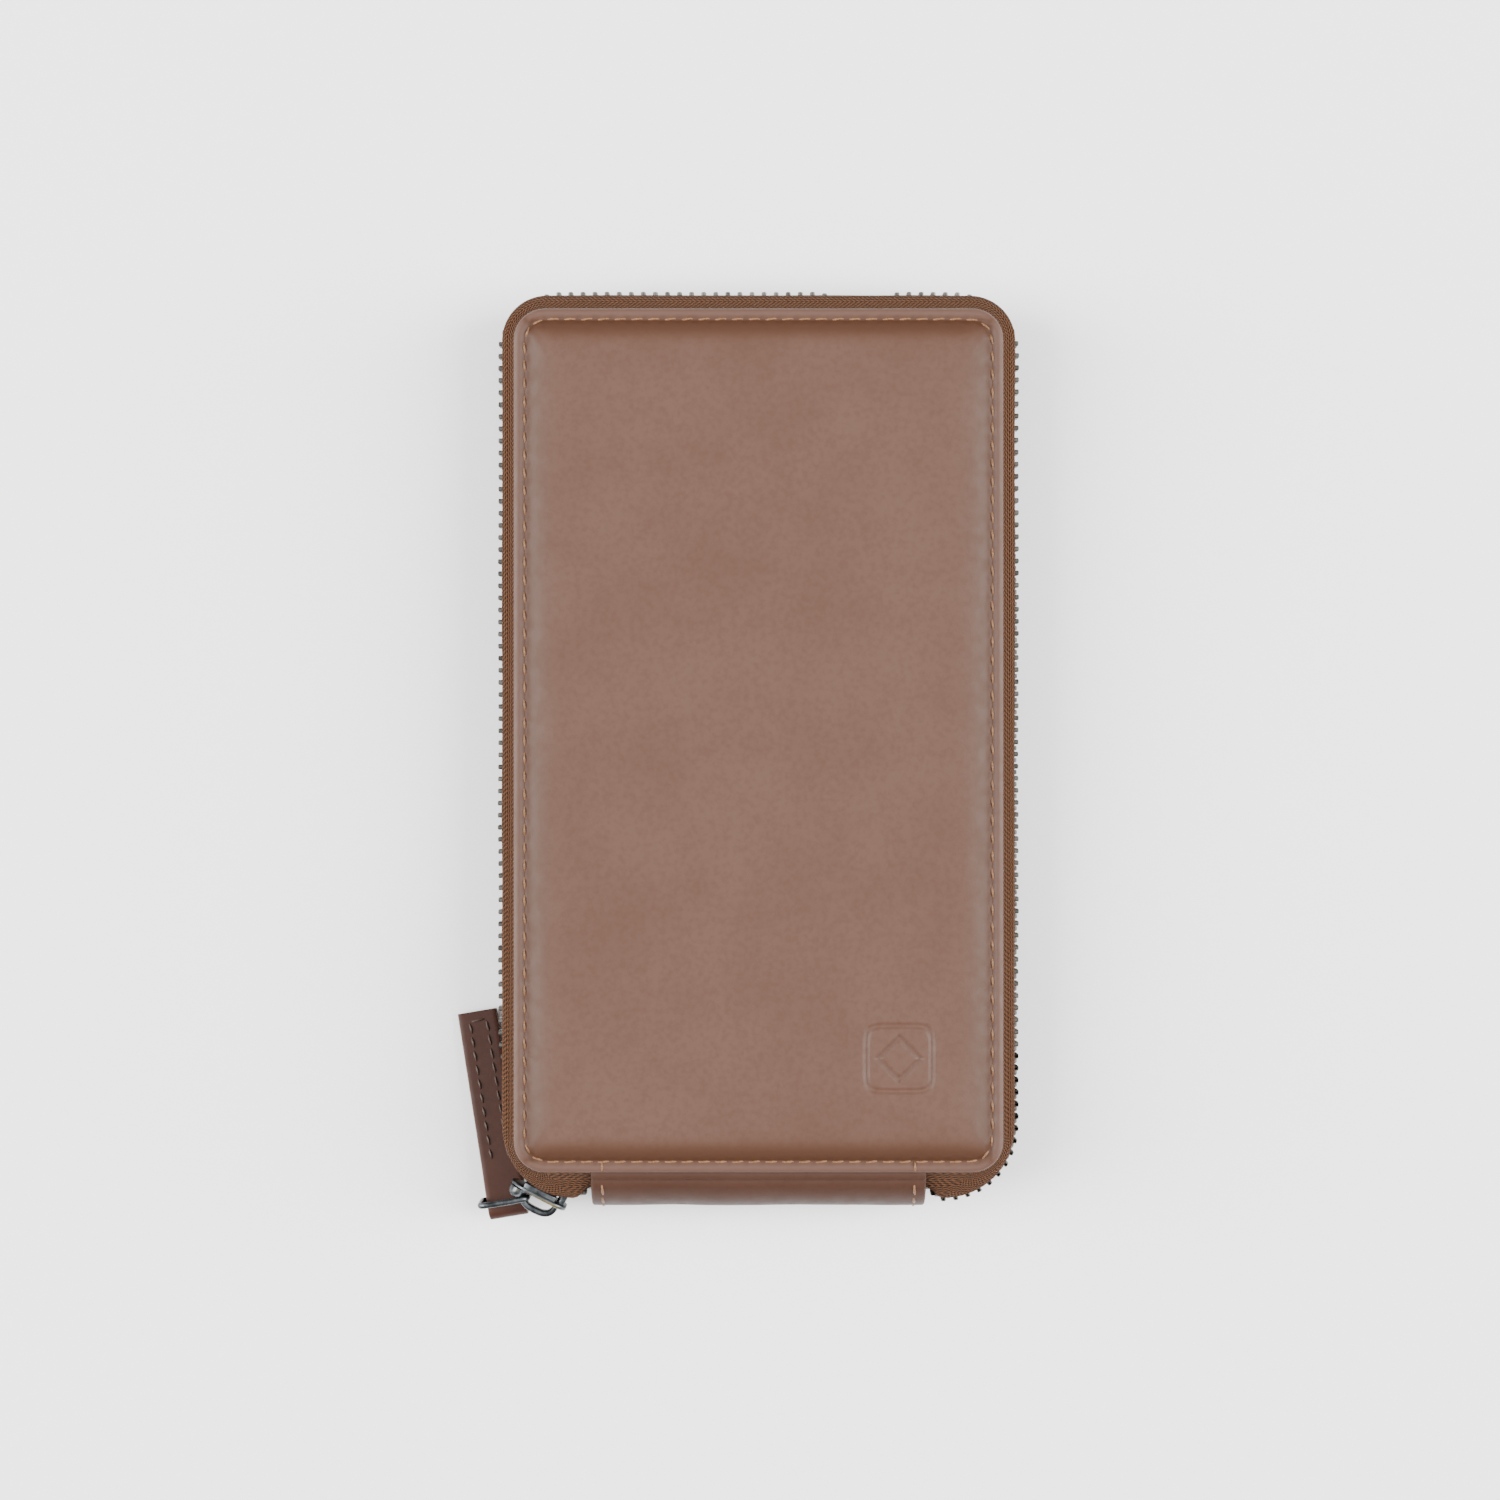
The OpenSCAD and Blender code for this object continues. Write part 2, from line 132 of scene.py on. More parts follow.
def skin(rings, closed_along=False, caps=True):
    """Points and faces of a skin over rings that have equal counts."""
    count = len(rings[0])
    points = [p for ring in rings for p in ring]
    faces = []
    spans = len(rings) if closed_along else len(rings) - 1
    for i in range(spans):
        for j in range(count):
            a = i * count + j
            b = i * count + (j + 1) % count
            c = (i + 1) % len(rings) * count + (j + 1) % count
            d = (i + 1) % len(rings) * count + j
            faces.append((a, b, c, d))
    if caps and not closed_along:
        faces.append(tuple(range(count - 1, -1, -1)))
        last = (len(rings) - 1) * count
        faces.append(tuple(range(last, last + count)))
    return points, faces


def merge(shapes):
    points, faces = [], []
    for more_points, more_faces in shapes:
        start = len(points)
        points += more_points
        faces += [tuple(start + i for i in face) for face in more_faces]
    return points, faces


def mirrored(shape):
    """The same shape for the other cover."""
    points, faces = shape
    return [Vector((p[0], p[1], TOP_Z - p[2])) for p in points], [face[::-1] for face in faces]


def piece(name, shape, material, body=None, slot=None, replaces=(), smooth=True, uvs=None, **marks):
    """Makes one piece from a shape in mm. uvs and marks hold one entry for each point."""
    points, faces = shape
    mesh = bpy.data.meshes.new(name)
    mesh.from_pydata([Vector(p) * MM for p in points], [], faces)
    mesh.validate()
    mesh.update()
    obj = bpy.data.objects.new(name, mesh)
    bpy.context.scene.collection.objects.link(obj)
    mesh.materials.append(material)
    if smooth:
        mesh.shade_smooth()
        mesh.set_sharp_from_angle(angle=math.radians(52))
    if uvs:
        layer = mesh.uv_layers.new(name="weave")
        for loop in mesh.loops:
            layer.data[loop.index].uv = uvs[loop.vertex_index]
    for mark, values in marks.items():
        layer = mesh.attributes.new(mark, "FLOAT", "POINT")
        layer.data.foreach_set("value", values)
    if body:
        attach(obj, body)
    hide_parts(*replaces)
    return obj


def slab(xs, ys, top, bottom):
    """A closed sheet over a grid, with a height function for each face."""
    points, faces = [], []
    rows = len(ys)
    for height in (top, bottom):
        points += [Vector((x, y, height(x, y))) for x in xs for y in ys]
    under = len(xs) * rows
    for i in range(len(xs) - 1):
        for j in range(rows - 1):
            a, b, c, d = i * rows + j, (i + 1) * rows + j, (i + 1) * rows + j + 1, i * rows + j + 1
            faces.append((a, b, c, d))
            faces.append((under + d, under + c, under + b, under + a))
    low = [i * rows for i in range(len(xs))]
    right = [(len(xs) - 1) * rows + j for j in range(rows)]
    high = [i * rows + rows - 1 for i in range(len(xs) - 1, -1, -1)]
    left = list(range(rows - 1, -1, -1))
    edge = low[:-1] + right[:-1] + high[:-1] + left[:-1]
    for a, b in zip(edge, edge[1:] + edge[:1]):
        faces.append((a, under + a, under + b, b))
    return points, faces


def ribbon(stations, width, thick, steps=12, round_edge=0.3):
    """A flat strip along stations (middle, across, up, share of the thickness), with rounded edges."""
    rings = []
    for middle, across, up, share in stations:
        half, t = width / 2, thick / 2 * share
        edge = min(round_edge, t)
        ring = []
        for x in spread(edge - half, half - edge, steps):
            ring.append(middle + across * x + up * t)
        for angle in (60, 30, 0, -30, -60):
            a = math.radians(angle)
            ring.append(middle + across * (half - edge + edge * math.cos(a)) + up * (t * math.sin(a)))
        for x in spread(half - edge, edge - half, steps):
            ring.append(middle + across * x - up * t)
        for angle in (240, 210, 180, 150, 120):
            a = math.radians(angle)
            ring.append(middle + across * (edge - half + edge * math.cos(a)) + up * (t * math.sin(a)))
        rings.append(ring)
    return skin(rings)


def stitch(start, end, up, width=0.52, rise=0.5, dive=0.3):
    """One stitch of two-ply thread, which comes out of one hole and goes down the next."""
    along = (end - start).normalized()
    across = along.cross(up).normalized()
    rings = []
    steps, sides = 10, 10
    for i in range(steps + 1):
        t = i / steps
        bow = math.sin(math.pi * t)
        middle = start.lerp(end, t) + up * (rise * bow ** 0.6 - dive)
        ring = []
        for j in range(sides):
            a = 2 * math.pi * j / sides
            ply = 1 + 0.14 * math.cos(2 * (a - 5 * t))
            r = width / 2 * (0.7 + 0.3 * bow) * ply
            ring.append(middle + across * (r * math.cos(a)) - up * (r * 0.85 * math.sin(a)))
        rings.append(ring)
    return skin(rings)


def stitch_row(path, up_at, pitch, share=0.86, slant=0.12, **kinds):
    """Stitches along a polyline, all of them whole."""
    lengths = [0.0]
    for a, b in zip(path, path[1:]):
        lengths.append(lengths[-1] + (b - a).length)

    def at(s):
        i = next((k for k in range(1, len(lengths)) if lengths[k] >= s), len(lengths) - 1)
        t = (s - lengths[i - 1]) / max(lengths[i] - lengths[i - 1], 1e-9)
        return path[i - 1].lerp(path[i], t)

    count = max(1, round(lengths[-1] / pitch))
    step = lengths[-1] / count
    made = []
    for k in range(count):
        start, end = at((k + (1 - share) / 2) * step), at((k + (1 + share) / 2) * step)
        up = up_at(start.lerp(end, 0.5))
        side = (end - start).cross(up).normalized() * slant
        made.append(stitch(start + side, end - side, up, **kinds))
    return merge(made)


# ---- materials ----

def linear(colour):
    """A linear colour with alpha from an sRGB hex string."""
    parts = [int(colour[i:i + 2], 16) / 255 for i in (1, 3, 5)]
    flat = [p / 12.92 if p <= 0.04045 else ((p + 0.055) / 1.055) ** 2.4 for p in parts]
    return (*flat, 1.0)


def add(material, kind, sources=None, **settings):
    """Adds one node. Settings are its properties or its sockets' values. Sources, by a socket's name or
    number, are the sockets that feed it, its sRGB hex colours or its numbers."""
    tree = material.node_tree
    node = tree.nodes.new(kind)
    for key, value in settings.items():
        if hasattr(node, key):
            setattr(node, key, value)
        else:
            node.inputs[key.replace("_", " ")].default_value = value
    for key, source in (sources or {}).items():
        if isinstance(source, bpy.types.NodeSocket):
            tree.links.new(source, node.inputs[key])
        else:
            node.inputs[key].default_value = linear(source) if isinstance(source, str) else source
    return node


def new_material(name, **settings):
    """A material with a Principled surface whose even values sit on its own sockets."""
    material = bpy.data.materials.new(name)
    material.use_nodes = True
    material.node_tree.nodes.clear()
    surface = add(material, "ShaderNodeBsdfPrincipled")
    for key, value in settings.items():
        surface.inputs[key.replace("_", " ")].default_value = value
    add(material, "ShaderNodeOutputMaterial", {"Surface": surface.outputs[0]})
    return material, surface


def connect(material, surface, **sources):
    """Links what changes over the surface to its sockets."""
    for key, source in sources.items():
        material.node_tree.links.new(source, surface.inputs[key.replace("_", " ")])


def per_mm(size):
    """Texture scale for features of a size in mm, over coordinates in metres."""
    return 1 / (size * MM)


# A colour mix has the same socket names for each type of value, so its sockets go by their numbers.
SHARE, FIRST, SECOND, MIXED = 0, 6, 7, 2


def leather(name, colour, deep, worn, roughness):
    """Aniline-dyed cowhide: uneven dye under a thin wax finish, pores 0.55 mm apart, painted shade that
    darkens the padding's steep shoulder, and paler on rubbed edges."""
    material, surface = new_material(name, Coat_Weight=0.04, Coat_Roughness=0.5, Specular_IOR_Level=0.2)
    place = add(material, "ShaderNodeTexCoord").outputs["Object"]
    dye = add(material, "ShaderNodeTexNoise", {"Vector": place},
              Scale=per_mm(22), Detail=4.0, Roughness=0.6)
    fleck = add(material, "ShaderNodeTexNoise", {"Vector": place}, Scale=per_mm(1.2), Detail=3.0)
    dye_share = add(material, "ShaderNodeMapRange", {"Value": dye.outputs[0]},
                    From_Min=0.35, From_Max=0.7, To_Min=0.0, To_Max=0.35)
    fleck_share = add(material, "ShaderNodeMapRange", {"Value": fleck.outputs[0]},
                      From_Min=0.4, From_Max=0.7, To_Min=0.0, To_Max=0.3)
    # Painted shade: this mark darkens the steep shoulder beside the seam towards the deep colour.
    burnished = add(material, "ShaderNodeAttribute", attribute_name="burnish")
    rubbed = add(material, "ShaderNodeAttribute", attribute_name="wear")
    base = colour
    # The shoulder mark mixes in painted shade; the dye, the flecks and the rubbed edges are the hide's own
    # colour.
    for share, tint in ((dye_share.outputs[0], deep), (fleck_share.outputs[0], deep),
                        (burnished.outputs["Fac"], deep), (rubbed.outputs["Fac"], worn)):
        mix = add(material, "ShaderNodeMix", {SHARE: share, FIRST: base, SECOND: tint}, data_type="RGBA")
        base = mix.outputs[MIXED]
    pores = add(material, "ShaderNodeTexVoronoi", {"Vector": place}, Scale=per_mm(0.55), Randomness=0.9)
    folds = add(material, "ShaderNodeTexNoise", {"Vector": place}, Scale=per_mm(2.6), Detail=5.0)
    pore_bump = add(material, "ShaderNodeBump", {"Height": pores.outputs["Distance"]},
                    Strength=0.26, Distance=0.03 * MM)
    fold_bump = add(material, "ShaderNodeBump",
                    {"Height": folds.outputs[0], "Normal": pore_bump.outputs[0]},
                    Strength=0.22, Distance=0.12 * MM)
    gloss = add(material, "ShaderNodeMapRange", {"Value": folds.outputs[0]},
                From_Min=0.3, From_Max=0.7, To_Min=roughness - 0.05, To_Max=roughness + 0.06)
    connect(material, surface, Base_Color=base, Roughness=gloss.outputs[0], Normal=fold_bump.outputs[0])
    return material


def woven(name, colour, deep, rib, herringbone, depth):
    """Woven cotton: ribs of twill that turn back at each herringbone stripe, with a soft fuzz."""
    material, surface = new_material(
        name, Roughness=0.92, Sheen_Weight=0.03, Sheen_Roughness=0.5, Specular_IOR_Level=0.08)
    flat = add(material, "ShaderNodeUVMap", uv_map="weave").outputs[0]
    parts = add(material, "ShaderNodeSeparateXYZ", {0: flat})
    zigzag = add(material, "ShaderNodeMath", {0: parts.outputs[1], 1: herringbone * MM},
                 operation="PINGPONG")
    slope = add(material, "ShaderNodeMath", {0: zigzag.outputs[0], 1: parts.outputs[0]}, operation="ADD")
    turns = add(material, "ShaderNodeMath", {0: slope.outputs[0], 1: 2 * math.pi * per_mm(rib)},
                operation="MULTIPLY")
    wave = add(material, "ShaderNodeMath", {0: turns.outputs[0]}, operation="SINE")
    picks = add(material, "ShaderNodeMath", {0: parts.outputs[1], 1: 2 * math.pi * per_mm(rib * 0.62)},
                operation="MULTIPLY")
    cross = add(material, "ShaderNodeMath", {0: picks.outputs[0]}, operation="SINE")
    both = add(material, "ShaderNodeMath", {0: cross.outputs[0], 1: 1.15, 2: wave.outputs[0]},
               operation="MULTIPLY_ADD")
    fuzz = add(material, "ShaderNodeTexNoise", {"Vector": flat}, Scale=per_mm(0.35), Detail=4.0)
    fibres = add(material, "ShaderNodeMath", {0: fuzz.outputs[0], 1: 2.2, 2: both.outputs[0]},
                 operation="MULTIPLY_ADD")
    share = add(material, "ShaderNodeMapRange", {"Value": fibres.outputs[0]}, From_Min=-0.2, From_Max=2.2)
    bump = add(material, "ShaderNodeBump", {"Height": fibres.outputs[0]}, Strength=0.8, Distance=depth * MM)
    dyed = add(material, "ShaderNodeMix", {SHARE: share.outputs[0], FIRST: deep, SECOND: colour},
               data_type="RGBA")
    connect(material, surface, Base_Color=dyed.outputs[MIXED], Normal=bump.outputs[0])
    return material


def thread(name, colour, deep):
    """Waxed polyester thread: satin, with fine fibres that are darker and lighter."""
    material, surface = new_material(
        name, Roughness=0.48, Sheen_Weight=0.05, Sheen_Roughness=0.4, Specular_IOR_Level=0.35)
    place = add(material, "ShaderNodeTexCoord").outputs["Object"]
    fibre = add(material, "ShaderNodeTexNoise", {"Vector": place}, Scale=per_mm(0.25), Detail=3.0)
    share = add(material, "ShaderNodeMapRange", {"Value": fibre.outputs[0]}, From_Min=0.35, From_Max=0.65)
    bump = add(material, "ShaderNodeBump", {"Height": fibre.outputs[0]}, Strength=0.4, Distance=0.05 * MM)
    dyed = add(material, "ShaderNodeMix", {SHARE: share.outputs[0], FIRST: deep, SECOND: colour},
               data_type="RGBA")
    connect(material, surface, Base_Color=dyed.outputs[MIXED], Normal=bump.outputs[0])
    return material


def brass(name, bright, patina, rubbed_metal, roughness, patch=2.2):
    """Antiqued brass, or zinc alloy plated with it: blackened in patches, and rubbed bright by use."""
    material, surface = new_material(name, Metallic=1.0)
    place = add(material, "ShaderNodeTexCoord").outputs["Object"]
    stain = add(material, "ShaderNodeTexNoise", {"Vector": place}, Scale=per_mm(patch), Detail=5.0)
    scuff = add(material, "ShaderNodeTexNoise", {"Vector": place}, Scale=per_mm(0.3), Detail=3.0)
    share = add(material, "ShaderNodeMapRange", {"Value": stain.outputs[0]}, From_Min=0.38, From_Max=0.62)
    rubbed = add(material, "ShaderNodeAttribute", attribute_name="wear")
    plated = add(material, "ShaderNodeMix", {SHARE: share.outputs[0], FIRST: patina, SECOND: bright},
                 data_type="RGBA")
    colour = add(material, "ShaderNodeMix", {SHARE: rubbed.outputs["Fac"], FIRST: plated.outputs[MIXED],
                                             SECOND: rubbed_metal}, data_type="RGBA")
    gloss = add(material, "ShaderNodeMapRange", {"Value": scuff.outputs[0]},
                From_Min=0.3, From_Max=0.7, To_Min=roughness - 0.08, To_Max=roughness + 0.1)
    bump = add(material, "ShaderNodeBump", {"Height": scuff.outputs[0]}, Strength=0.25, Distance=0.03 * MM)
    connect(material, surface, Base_Color=colour.outputs[MIXED], Roughness=gloss.outputs[0],
            Normal=bump.outputs[0])
    return material


def matt(name, colour, deep, grain):
    """A matt fibrous or foamed material: pale wadding, grey pressed board or white paper."""
    material, surface = new_material(name, Roughness=0.9, Specular_IOR_Level=0.25)
    place = add(material, "ShaderNodeTexCoord").outputs["Object"]
    fibre = add(material, "ShaderNodeTexNoise", {"Vector": place}, Scale=per_mm(grain), Detail=5.0)
    bump = add(material, "ShaderNodeBump", {"Height": fibre.outputs[0]}, Strength=0.3, Distance=0.1 * MM)
    tint = add(material, "ShaderNodeMix", {SHARE: fibre.outputs[0], FIRST: deep, SECOND: colour},
               data_type="RGBA")
    connect(material, surface, Base_Color=tint.outputs[MIXED], Normal=bump.outputs[0])
    return material


# Smooth pull-up cowhide for the covers, one shade darker for the spine, and the darkest for the tab, whose
# cut edges are left raw and pale. The tab's dark colour is painted shade, for the shadow that the case casts
# on it.
cover_hide = leather("cover_cowhide", "#4F382E", "#402719", "#513B32", 0.5)
spine_hide = leather("spine_cowhide", "#3C251A", "#301B12", "#463026", 0.52)
# The tab's colour is darkened with painted shade, for the shadow that the case casts on it.
tab_hide_painted_shade = leather("tab_cowhide_painted_shade", "#361B10", "#281109", "#5E4A3E", 0.52)
# Split leather for the pockets, which is duller than the full hide.
pocket_hide = leather("pocket_split_leather", "#3C271D", "#301D15", "#483026", 0.62)
# The tape's real ribs are 0.5 mm apart, which is too fine to show, so they are drawn at 0.95 mm.
tape_cotton = woven("zip_tape_cotton", "#5F3C24", "#160C06", rib=0.95, herringbone=1.9, depth=0.18)
# Cotton twill for the linings, with broad faint stripes.
lining_twill = woven("lining_twill", "#40291D", "#22150E", rib=0.9, herringbone=4.0, depth=0.06)
# Tan contrast thread on the covers and the spine, dark brown thread on the tab.
seam_thread = thread("seam_thread", "#7E593A", "#553A24")
tab_thread = thread("tab_thread", "#3E281E", "#281912")
# Blackened teeth, steel-grey where the slider rubs them, and a smoother slider with brassy edges.
tooth_brass = brass("tooth_brass", "#5A5855", "#1E1D1C", "#86837C", 0.38)
slider_brass = brass("slider_brass", "#5C6063", "#2C2E30", "#9C8C50", 0.34, patch=3.0)
# Polyester wadding, grey pressed board with short fibres, and the white paper that the pouch lies on.
wadding = matt("pad_wadding", "#C4BCA6", "#A89F88", 0.8)
stiff_board = matt("pressed_board", "#6E6A62", "#524E48", 0.5)
table_paper = matt("table_paper", "#F9F9F9", "#F5F5F5", 3.0)


# ---- covers ----

def rounded_ring(half_x, half_y, r, z):
    """Points round a rounded rectangle, each side from one corner's middle to the next."""
    ring = []
    for side in range(4):
        long_half, short_half = (half_x, half_y) if side % 2 == 0 else (half_y, half_x)
        count = RING_POINTS_X if side % 2 == 0 else RING_POINTS_Y
        for i in range(count):
            if i < HALF_CORNER:
                a = math.radians(225 + 45 * i / HALF_CORNER)
                x, y = r - long_half + r * math.cos(a), r - short_half + r * math.sin(a)
            elif i <= count - HALF_CORNER:
                share = (i - HALF_CORNER) / (count - 2 * HALF_CORNER)
                x, y = (long_half - r) * (2 * share - 1), -short_half
            else:
                a = math.radians(270 + 45 * (i - count + HALF_CORNER) / HALF_CORNER)
                x, y = long_half - r + r * math.cos(a), r - short_half + r * math.sin(a)
            for _ in range(side):
                x, y = -y, x
            ring.append(Vector((x, y, z)))
    return ring


def cover_ring(inset, height):
    """A ring of the cover, at a height above the flat underside of its rim."""
    r = max(COVER_R - inset, 1.6 + 0.25 * inset)
    return rounded_ring(COVER_X - inset, COVER_Y - inset, min(r, COVER_R), UNDERSIDE_Z + height)


# (inset from the edge, height): the turned edge, the sewn groove, the steep padded shoulder
RIM_PROFILE = [
    (0.45, 0.0), (0.12, 0.12), (0.0, 0.45), (0.04, 0.85), (0.28, 1.2), (0.68, 1.4), (1.15, 1.46),
    (1.6, 1.38), (1.95, 1.2), (2.3, 1.08), (2.65, 1.2), (3.0, 1.5), (3.4, 1.86), (3.9, 2.24),
    (4.5, 2.6), (5.2, 2.92), (6.0, 3.17), (6.9, 3.35), (8.0, 3.47), (9.4, 3.55), (10.8, 3.59),
]
CROWN_H = 3.6
SKIN_T = 1.4


def mark_depth(x, y):
    """A plain debossed mark: a rounded frame round a diamond, pressed into the leather."""
    dx, dy = abs(x - MARK_MID.x), abs(y - MARK_MID.y)
    if max(dx, dy) > MARK_HALF + 1.5:
        return 0.0
    frame_line = abs((dx ** 6 + dy ** 6) ** (1 / 6) - (MARK_HALF - 0.8))
    diamond_line = abs((dx + dy) * 0.7071 - MARK_DIAMOND)
    line = min(frame_line, diamond_line)
    return MARK_DEPTH * (1 - ease((line - 0.24) / 0.36))


def crown_wave(x, y):
    """The slight unevenness of leather over wadding."""
    return 0.07 * (noise.noise(Vector((x / 19, y / 27, 0.3))) - 0.5)


def cover_shell(marked):
    """The moulded leather of a cover: its face, its turned edge and its inside."""
    rings = [cover_ring(CROWN_INSET, CROWN_H - SKIN_T)]
    rings += [cover_ring(inset, h) for inset, h in ((9.5, 2.1), (7.6, 1.7), (6.4, 1.0), (5.9, 0.0))]
    rings += [cover_ring(inset, h) for inset, h in RIM_PROFILE]
    for ring, (inset, _) in zip(rings[5:], RIM_PROFILE):
        near_seam = max(0.0, 1 - abs(inset - SEAM_INSET) / 1.5)
        for i, point in enumerate(ring):
            pull = -0.34 if i % POINTS_PER_STITCH == 0 else 0.05
            point.z += pull * near_seam
            if inset > 4:
                point.z += crown_wave(point.x, point.y) * min(1, (inset - 4) / 4)
    reach = MARK_HALF + 1
    xs = spread_with_fine(CROWN_INSET - COVER_X, COVER_X - CROWN_INSET, MARK_MID.x - reach,
                          MARK_MID.x + reach, MARK_POINTS, RING_POINTS_X)
    ys = spread_with_fine(CROWN_INSET - COVER_Y, COVER_Y - CROWN_INSET, MARK_MID.y - reach,
                          MARK_MID.y + reach, MARK_POINTS, RING_POINTS_Y)

    def crown_point(x, y):
        pressed = mark_depth(x, y) if marked else 0.0
        return Vector((x, y, UNDERSIDE_Z + CROWN_H + crown_wave(x, y) - pressed))

    nx, ny = RING_POINTS_X, RING_POINTS_Y
    edge = [(i, 0) for i in range(nx)] + [(nx, j) for j in range(ny)]
    edge += [(nx - i, ny) for i in range(nx)] + [(0, ny - j) for j in range(ny)]
    rings.append([crown_point(xs[i], ys[j]) for i, j in edge])
    points, faces = skin(rings, caps=False)
    count = len(edge)
    faces.append(tuple(range(count - 1, -1, -1)))
    last = (len(rings) - 1) * count
    index = {place: last + k for k, place in enumerate(edge)}
    for i in range(1, nx):
        for j in range(1, ny):
            index[i, j] = len(points)
            points.append(crown_point(xs[i], ys[j]))
    for i in range(nx):
        for j in range(ny):
            faces.append((index[i, j], index[i + 1, j], index[i + 1, j + 1], index[i, j + 1]))
    return points, faces


def rim_wear(points):
    """Most on the turned edge, fading to none at the seam."""
    found = []
    for p in points:
        inset = min(COVER_X - abs(p[0]), COVER_Y - abs(p[1]))
        found.append(0.75 * (1 - ease((inset - 0.9) / 1.4)))
    return found


def shoulder_burnish(points):
    """Painted shade: 1 on the steep shoulder beside the seam, fading out over the crown."""
    found = []
    for p in points:
        inset = min(COVER_X - abs(p[0]), COVER_Y - abs(p[1]))
        found.append(ease((inset - 2.0) / 0.6) * (1 - ease((inset - 3.6) / 4.4)))
    return found


def pad_shape():
    """The wadding under a cover's leather: a crowned closed form that is flat on the board."""
    base = [cover_ring(7.2, 0.03), cover_ring(6.8, 0.4), cover_ring(7.4, 1.2), cover_ring(8.6, 1.8)]
    return skin(base + [cover_ring(11.0, 2.1), cover_ring(14.0, 2.14)])


front = cover_shell(True)
back = mirrored(cover_shell(False))
# Each cover carries painted shade on its shoulder beside its rim wear.
front_cover = piece("front_cover_leather", front, cover_hide, "front_shell", "cover_leather",
                    ["front_cover"], wear=rim_wear(front[0]), burnish=shoulder_burnish(front[0]))
back_cover = piece("back_cover_leather", back, cover_hide, "back_shell", "cover_leather",
                   ["back_cover"], wear=rim_wear(back[0]), burnish=shoulder_burnish(back[0]))
front_pad = piece("front_cover_wadding", pad_shape(), wadding, "front_shell", "foam", ["front_pad"])
back_pad = piece("back_cover_wadding", mirrored(pad_shape()), wadding, "back_shell", "foam", ["back_pad"])


# ---- seam stitches ----

def seam_stitches():
    """One stitch from each dip of the groove, where the needle went through, to the next."""
    line = cover_ring(SEAM_INSET, 1.12)
    made = []
    up = Vector((0, 0, 1))
    for k in range(len(line) // POINTS_PER_STITCH):
        first = k * POINTS_PER_STITCH
        following = (first + POINTS_PER_STITCH) % len(line)
        start, end = line[first].lerp(line[following], 0.13), line[first].lerp(line[following], 0.87)
        side = (end - start).cross(up).normalized() * random.uniform(0.05, 0.2)
        made.append(stitch(start + side, end - side, up, width=0.45, rise=0.56, dive=0.34))
    return merge(made)


def tack_stitches():
    """The stitch over the cover's edge at each end of the spine."""
    made = []
    for side in (-1, 1):
        x = side * (TAPE_END_X - 1 - 2.4)
        start, end = Vector((x, SEAM_INSET - COVER_Y, 23.6)), Vector((x, 0.15 - COVER_Y, 23.5))
        made.append(stitch(start, end, Vector((0, 0, 1)), width=0.45, rise=0.62))
    return merge(made)


front_seam = merge([seam_stitches(), tack_stitches()])
piece("front_seam_stitches", front_seam, seam_thread, "front_shell", "thread", ["front_seam_thread"])
back_seam = mirrored(merge([seam_stitches(), tack_stitches()]))
piece("back_seam_stitches", back_seam, seam_thread, "back_shell", "thread", ["back_seam_thread"])


# ---- zip ----

def corner_station(side, far, angle):
    """(point of the cover's edge, point of the track, outward direction) in a corner."""
    a = math.radians(angle)
    out = Vector((math.cos(a), math.sin(a)))
    mid, r = (FAR_MID, FAR_R) if far else (ARC_MID, SPINE_R)
    mid = Vector((side * mid.x, mid.y))
    edge = Vector((side * (COVER_X - COVER_R), (COVER_Y - COVER_R) * (1 if far else -1)))
    return edge + out * COVER_R, mid + out * r, out


def spine_tuck(track):
    """How far the zip's ends are drawn in, to go inside the ends of the spine."""
    return 2.3 * ease((38.6 - abs(track.x)) / 3.6) if track.y < 0 else 0.0


def track_stations():
    """Stations all the way round the zip, from the left end by the spine to the right one."""
    step = 1.1
    end_x = TAPE_END_X - 1.6
    ends = [(Vector((side * end_x, -COVER_Y)), Vector((side * end_x, TRACK_SPINE)), Vector((0, -1)))
            for side in (-1, 1)]
    rough = [ends[0]]
    corners = ((-1, False, 270, 180), (-1, True, 180, 90), (1, True, 90, 0), (1, False, 0, -90))
    for side, far, first_angle, last_angle in corners:
        rough += [corner_station(side, far, angle) for angle in spread(first_angle, last_angle, 16)]
    rough.append(ends[1])
    fine = [rough[0]]
    for a, b in zip(rough, rough[1:]):
        count = max(1, math.ceil((b[1] - a[1]).length / step))
        for k in range(1, count + 1):
            t = k / count
            fine.append((a[0].lerp(b[0], t), a[1].lerp(b[1], t), a[2].lerp(b[2], t).normalized()))
    return [(edge, track - out * spine_tuck(track), out) for edge, track, out in fine]


STATIONS = track_stations()
DISTANCES = [0.0]
for one, other in zip(STATIONS, STATIONS[1:]):
    DISTANCES.append(DISTANCES[-1] + (other[1] - one[1]).length)
TRACK_L = DISTANCES[-1]


def at_distance(s):
    """The station at a distance along the track."""
    k = next((i for i in range(1, len(DISTANCES)) if DISTANCES[i] >= s), len(DISTANCES) - 1)
    t = (s - DISTANCES[k - 1]) / (DISTANCES[k] - DISTANCES[k - 1])
    a, b = STATIONS[k - 1], STATIONS[k]
    return a[0].lerp(b[0], t), a[1].lerp(b[1], t), a[2].lerp(b[2], t).normalized()


def bump_at(value, middle, half, fade):
    """1 within half of middle, fading to 0 over fade."""
    return 1 - ease((abs(value - middle) - half) / fade)


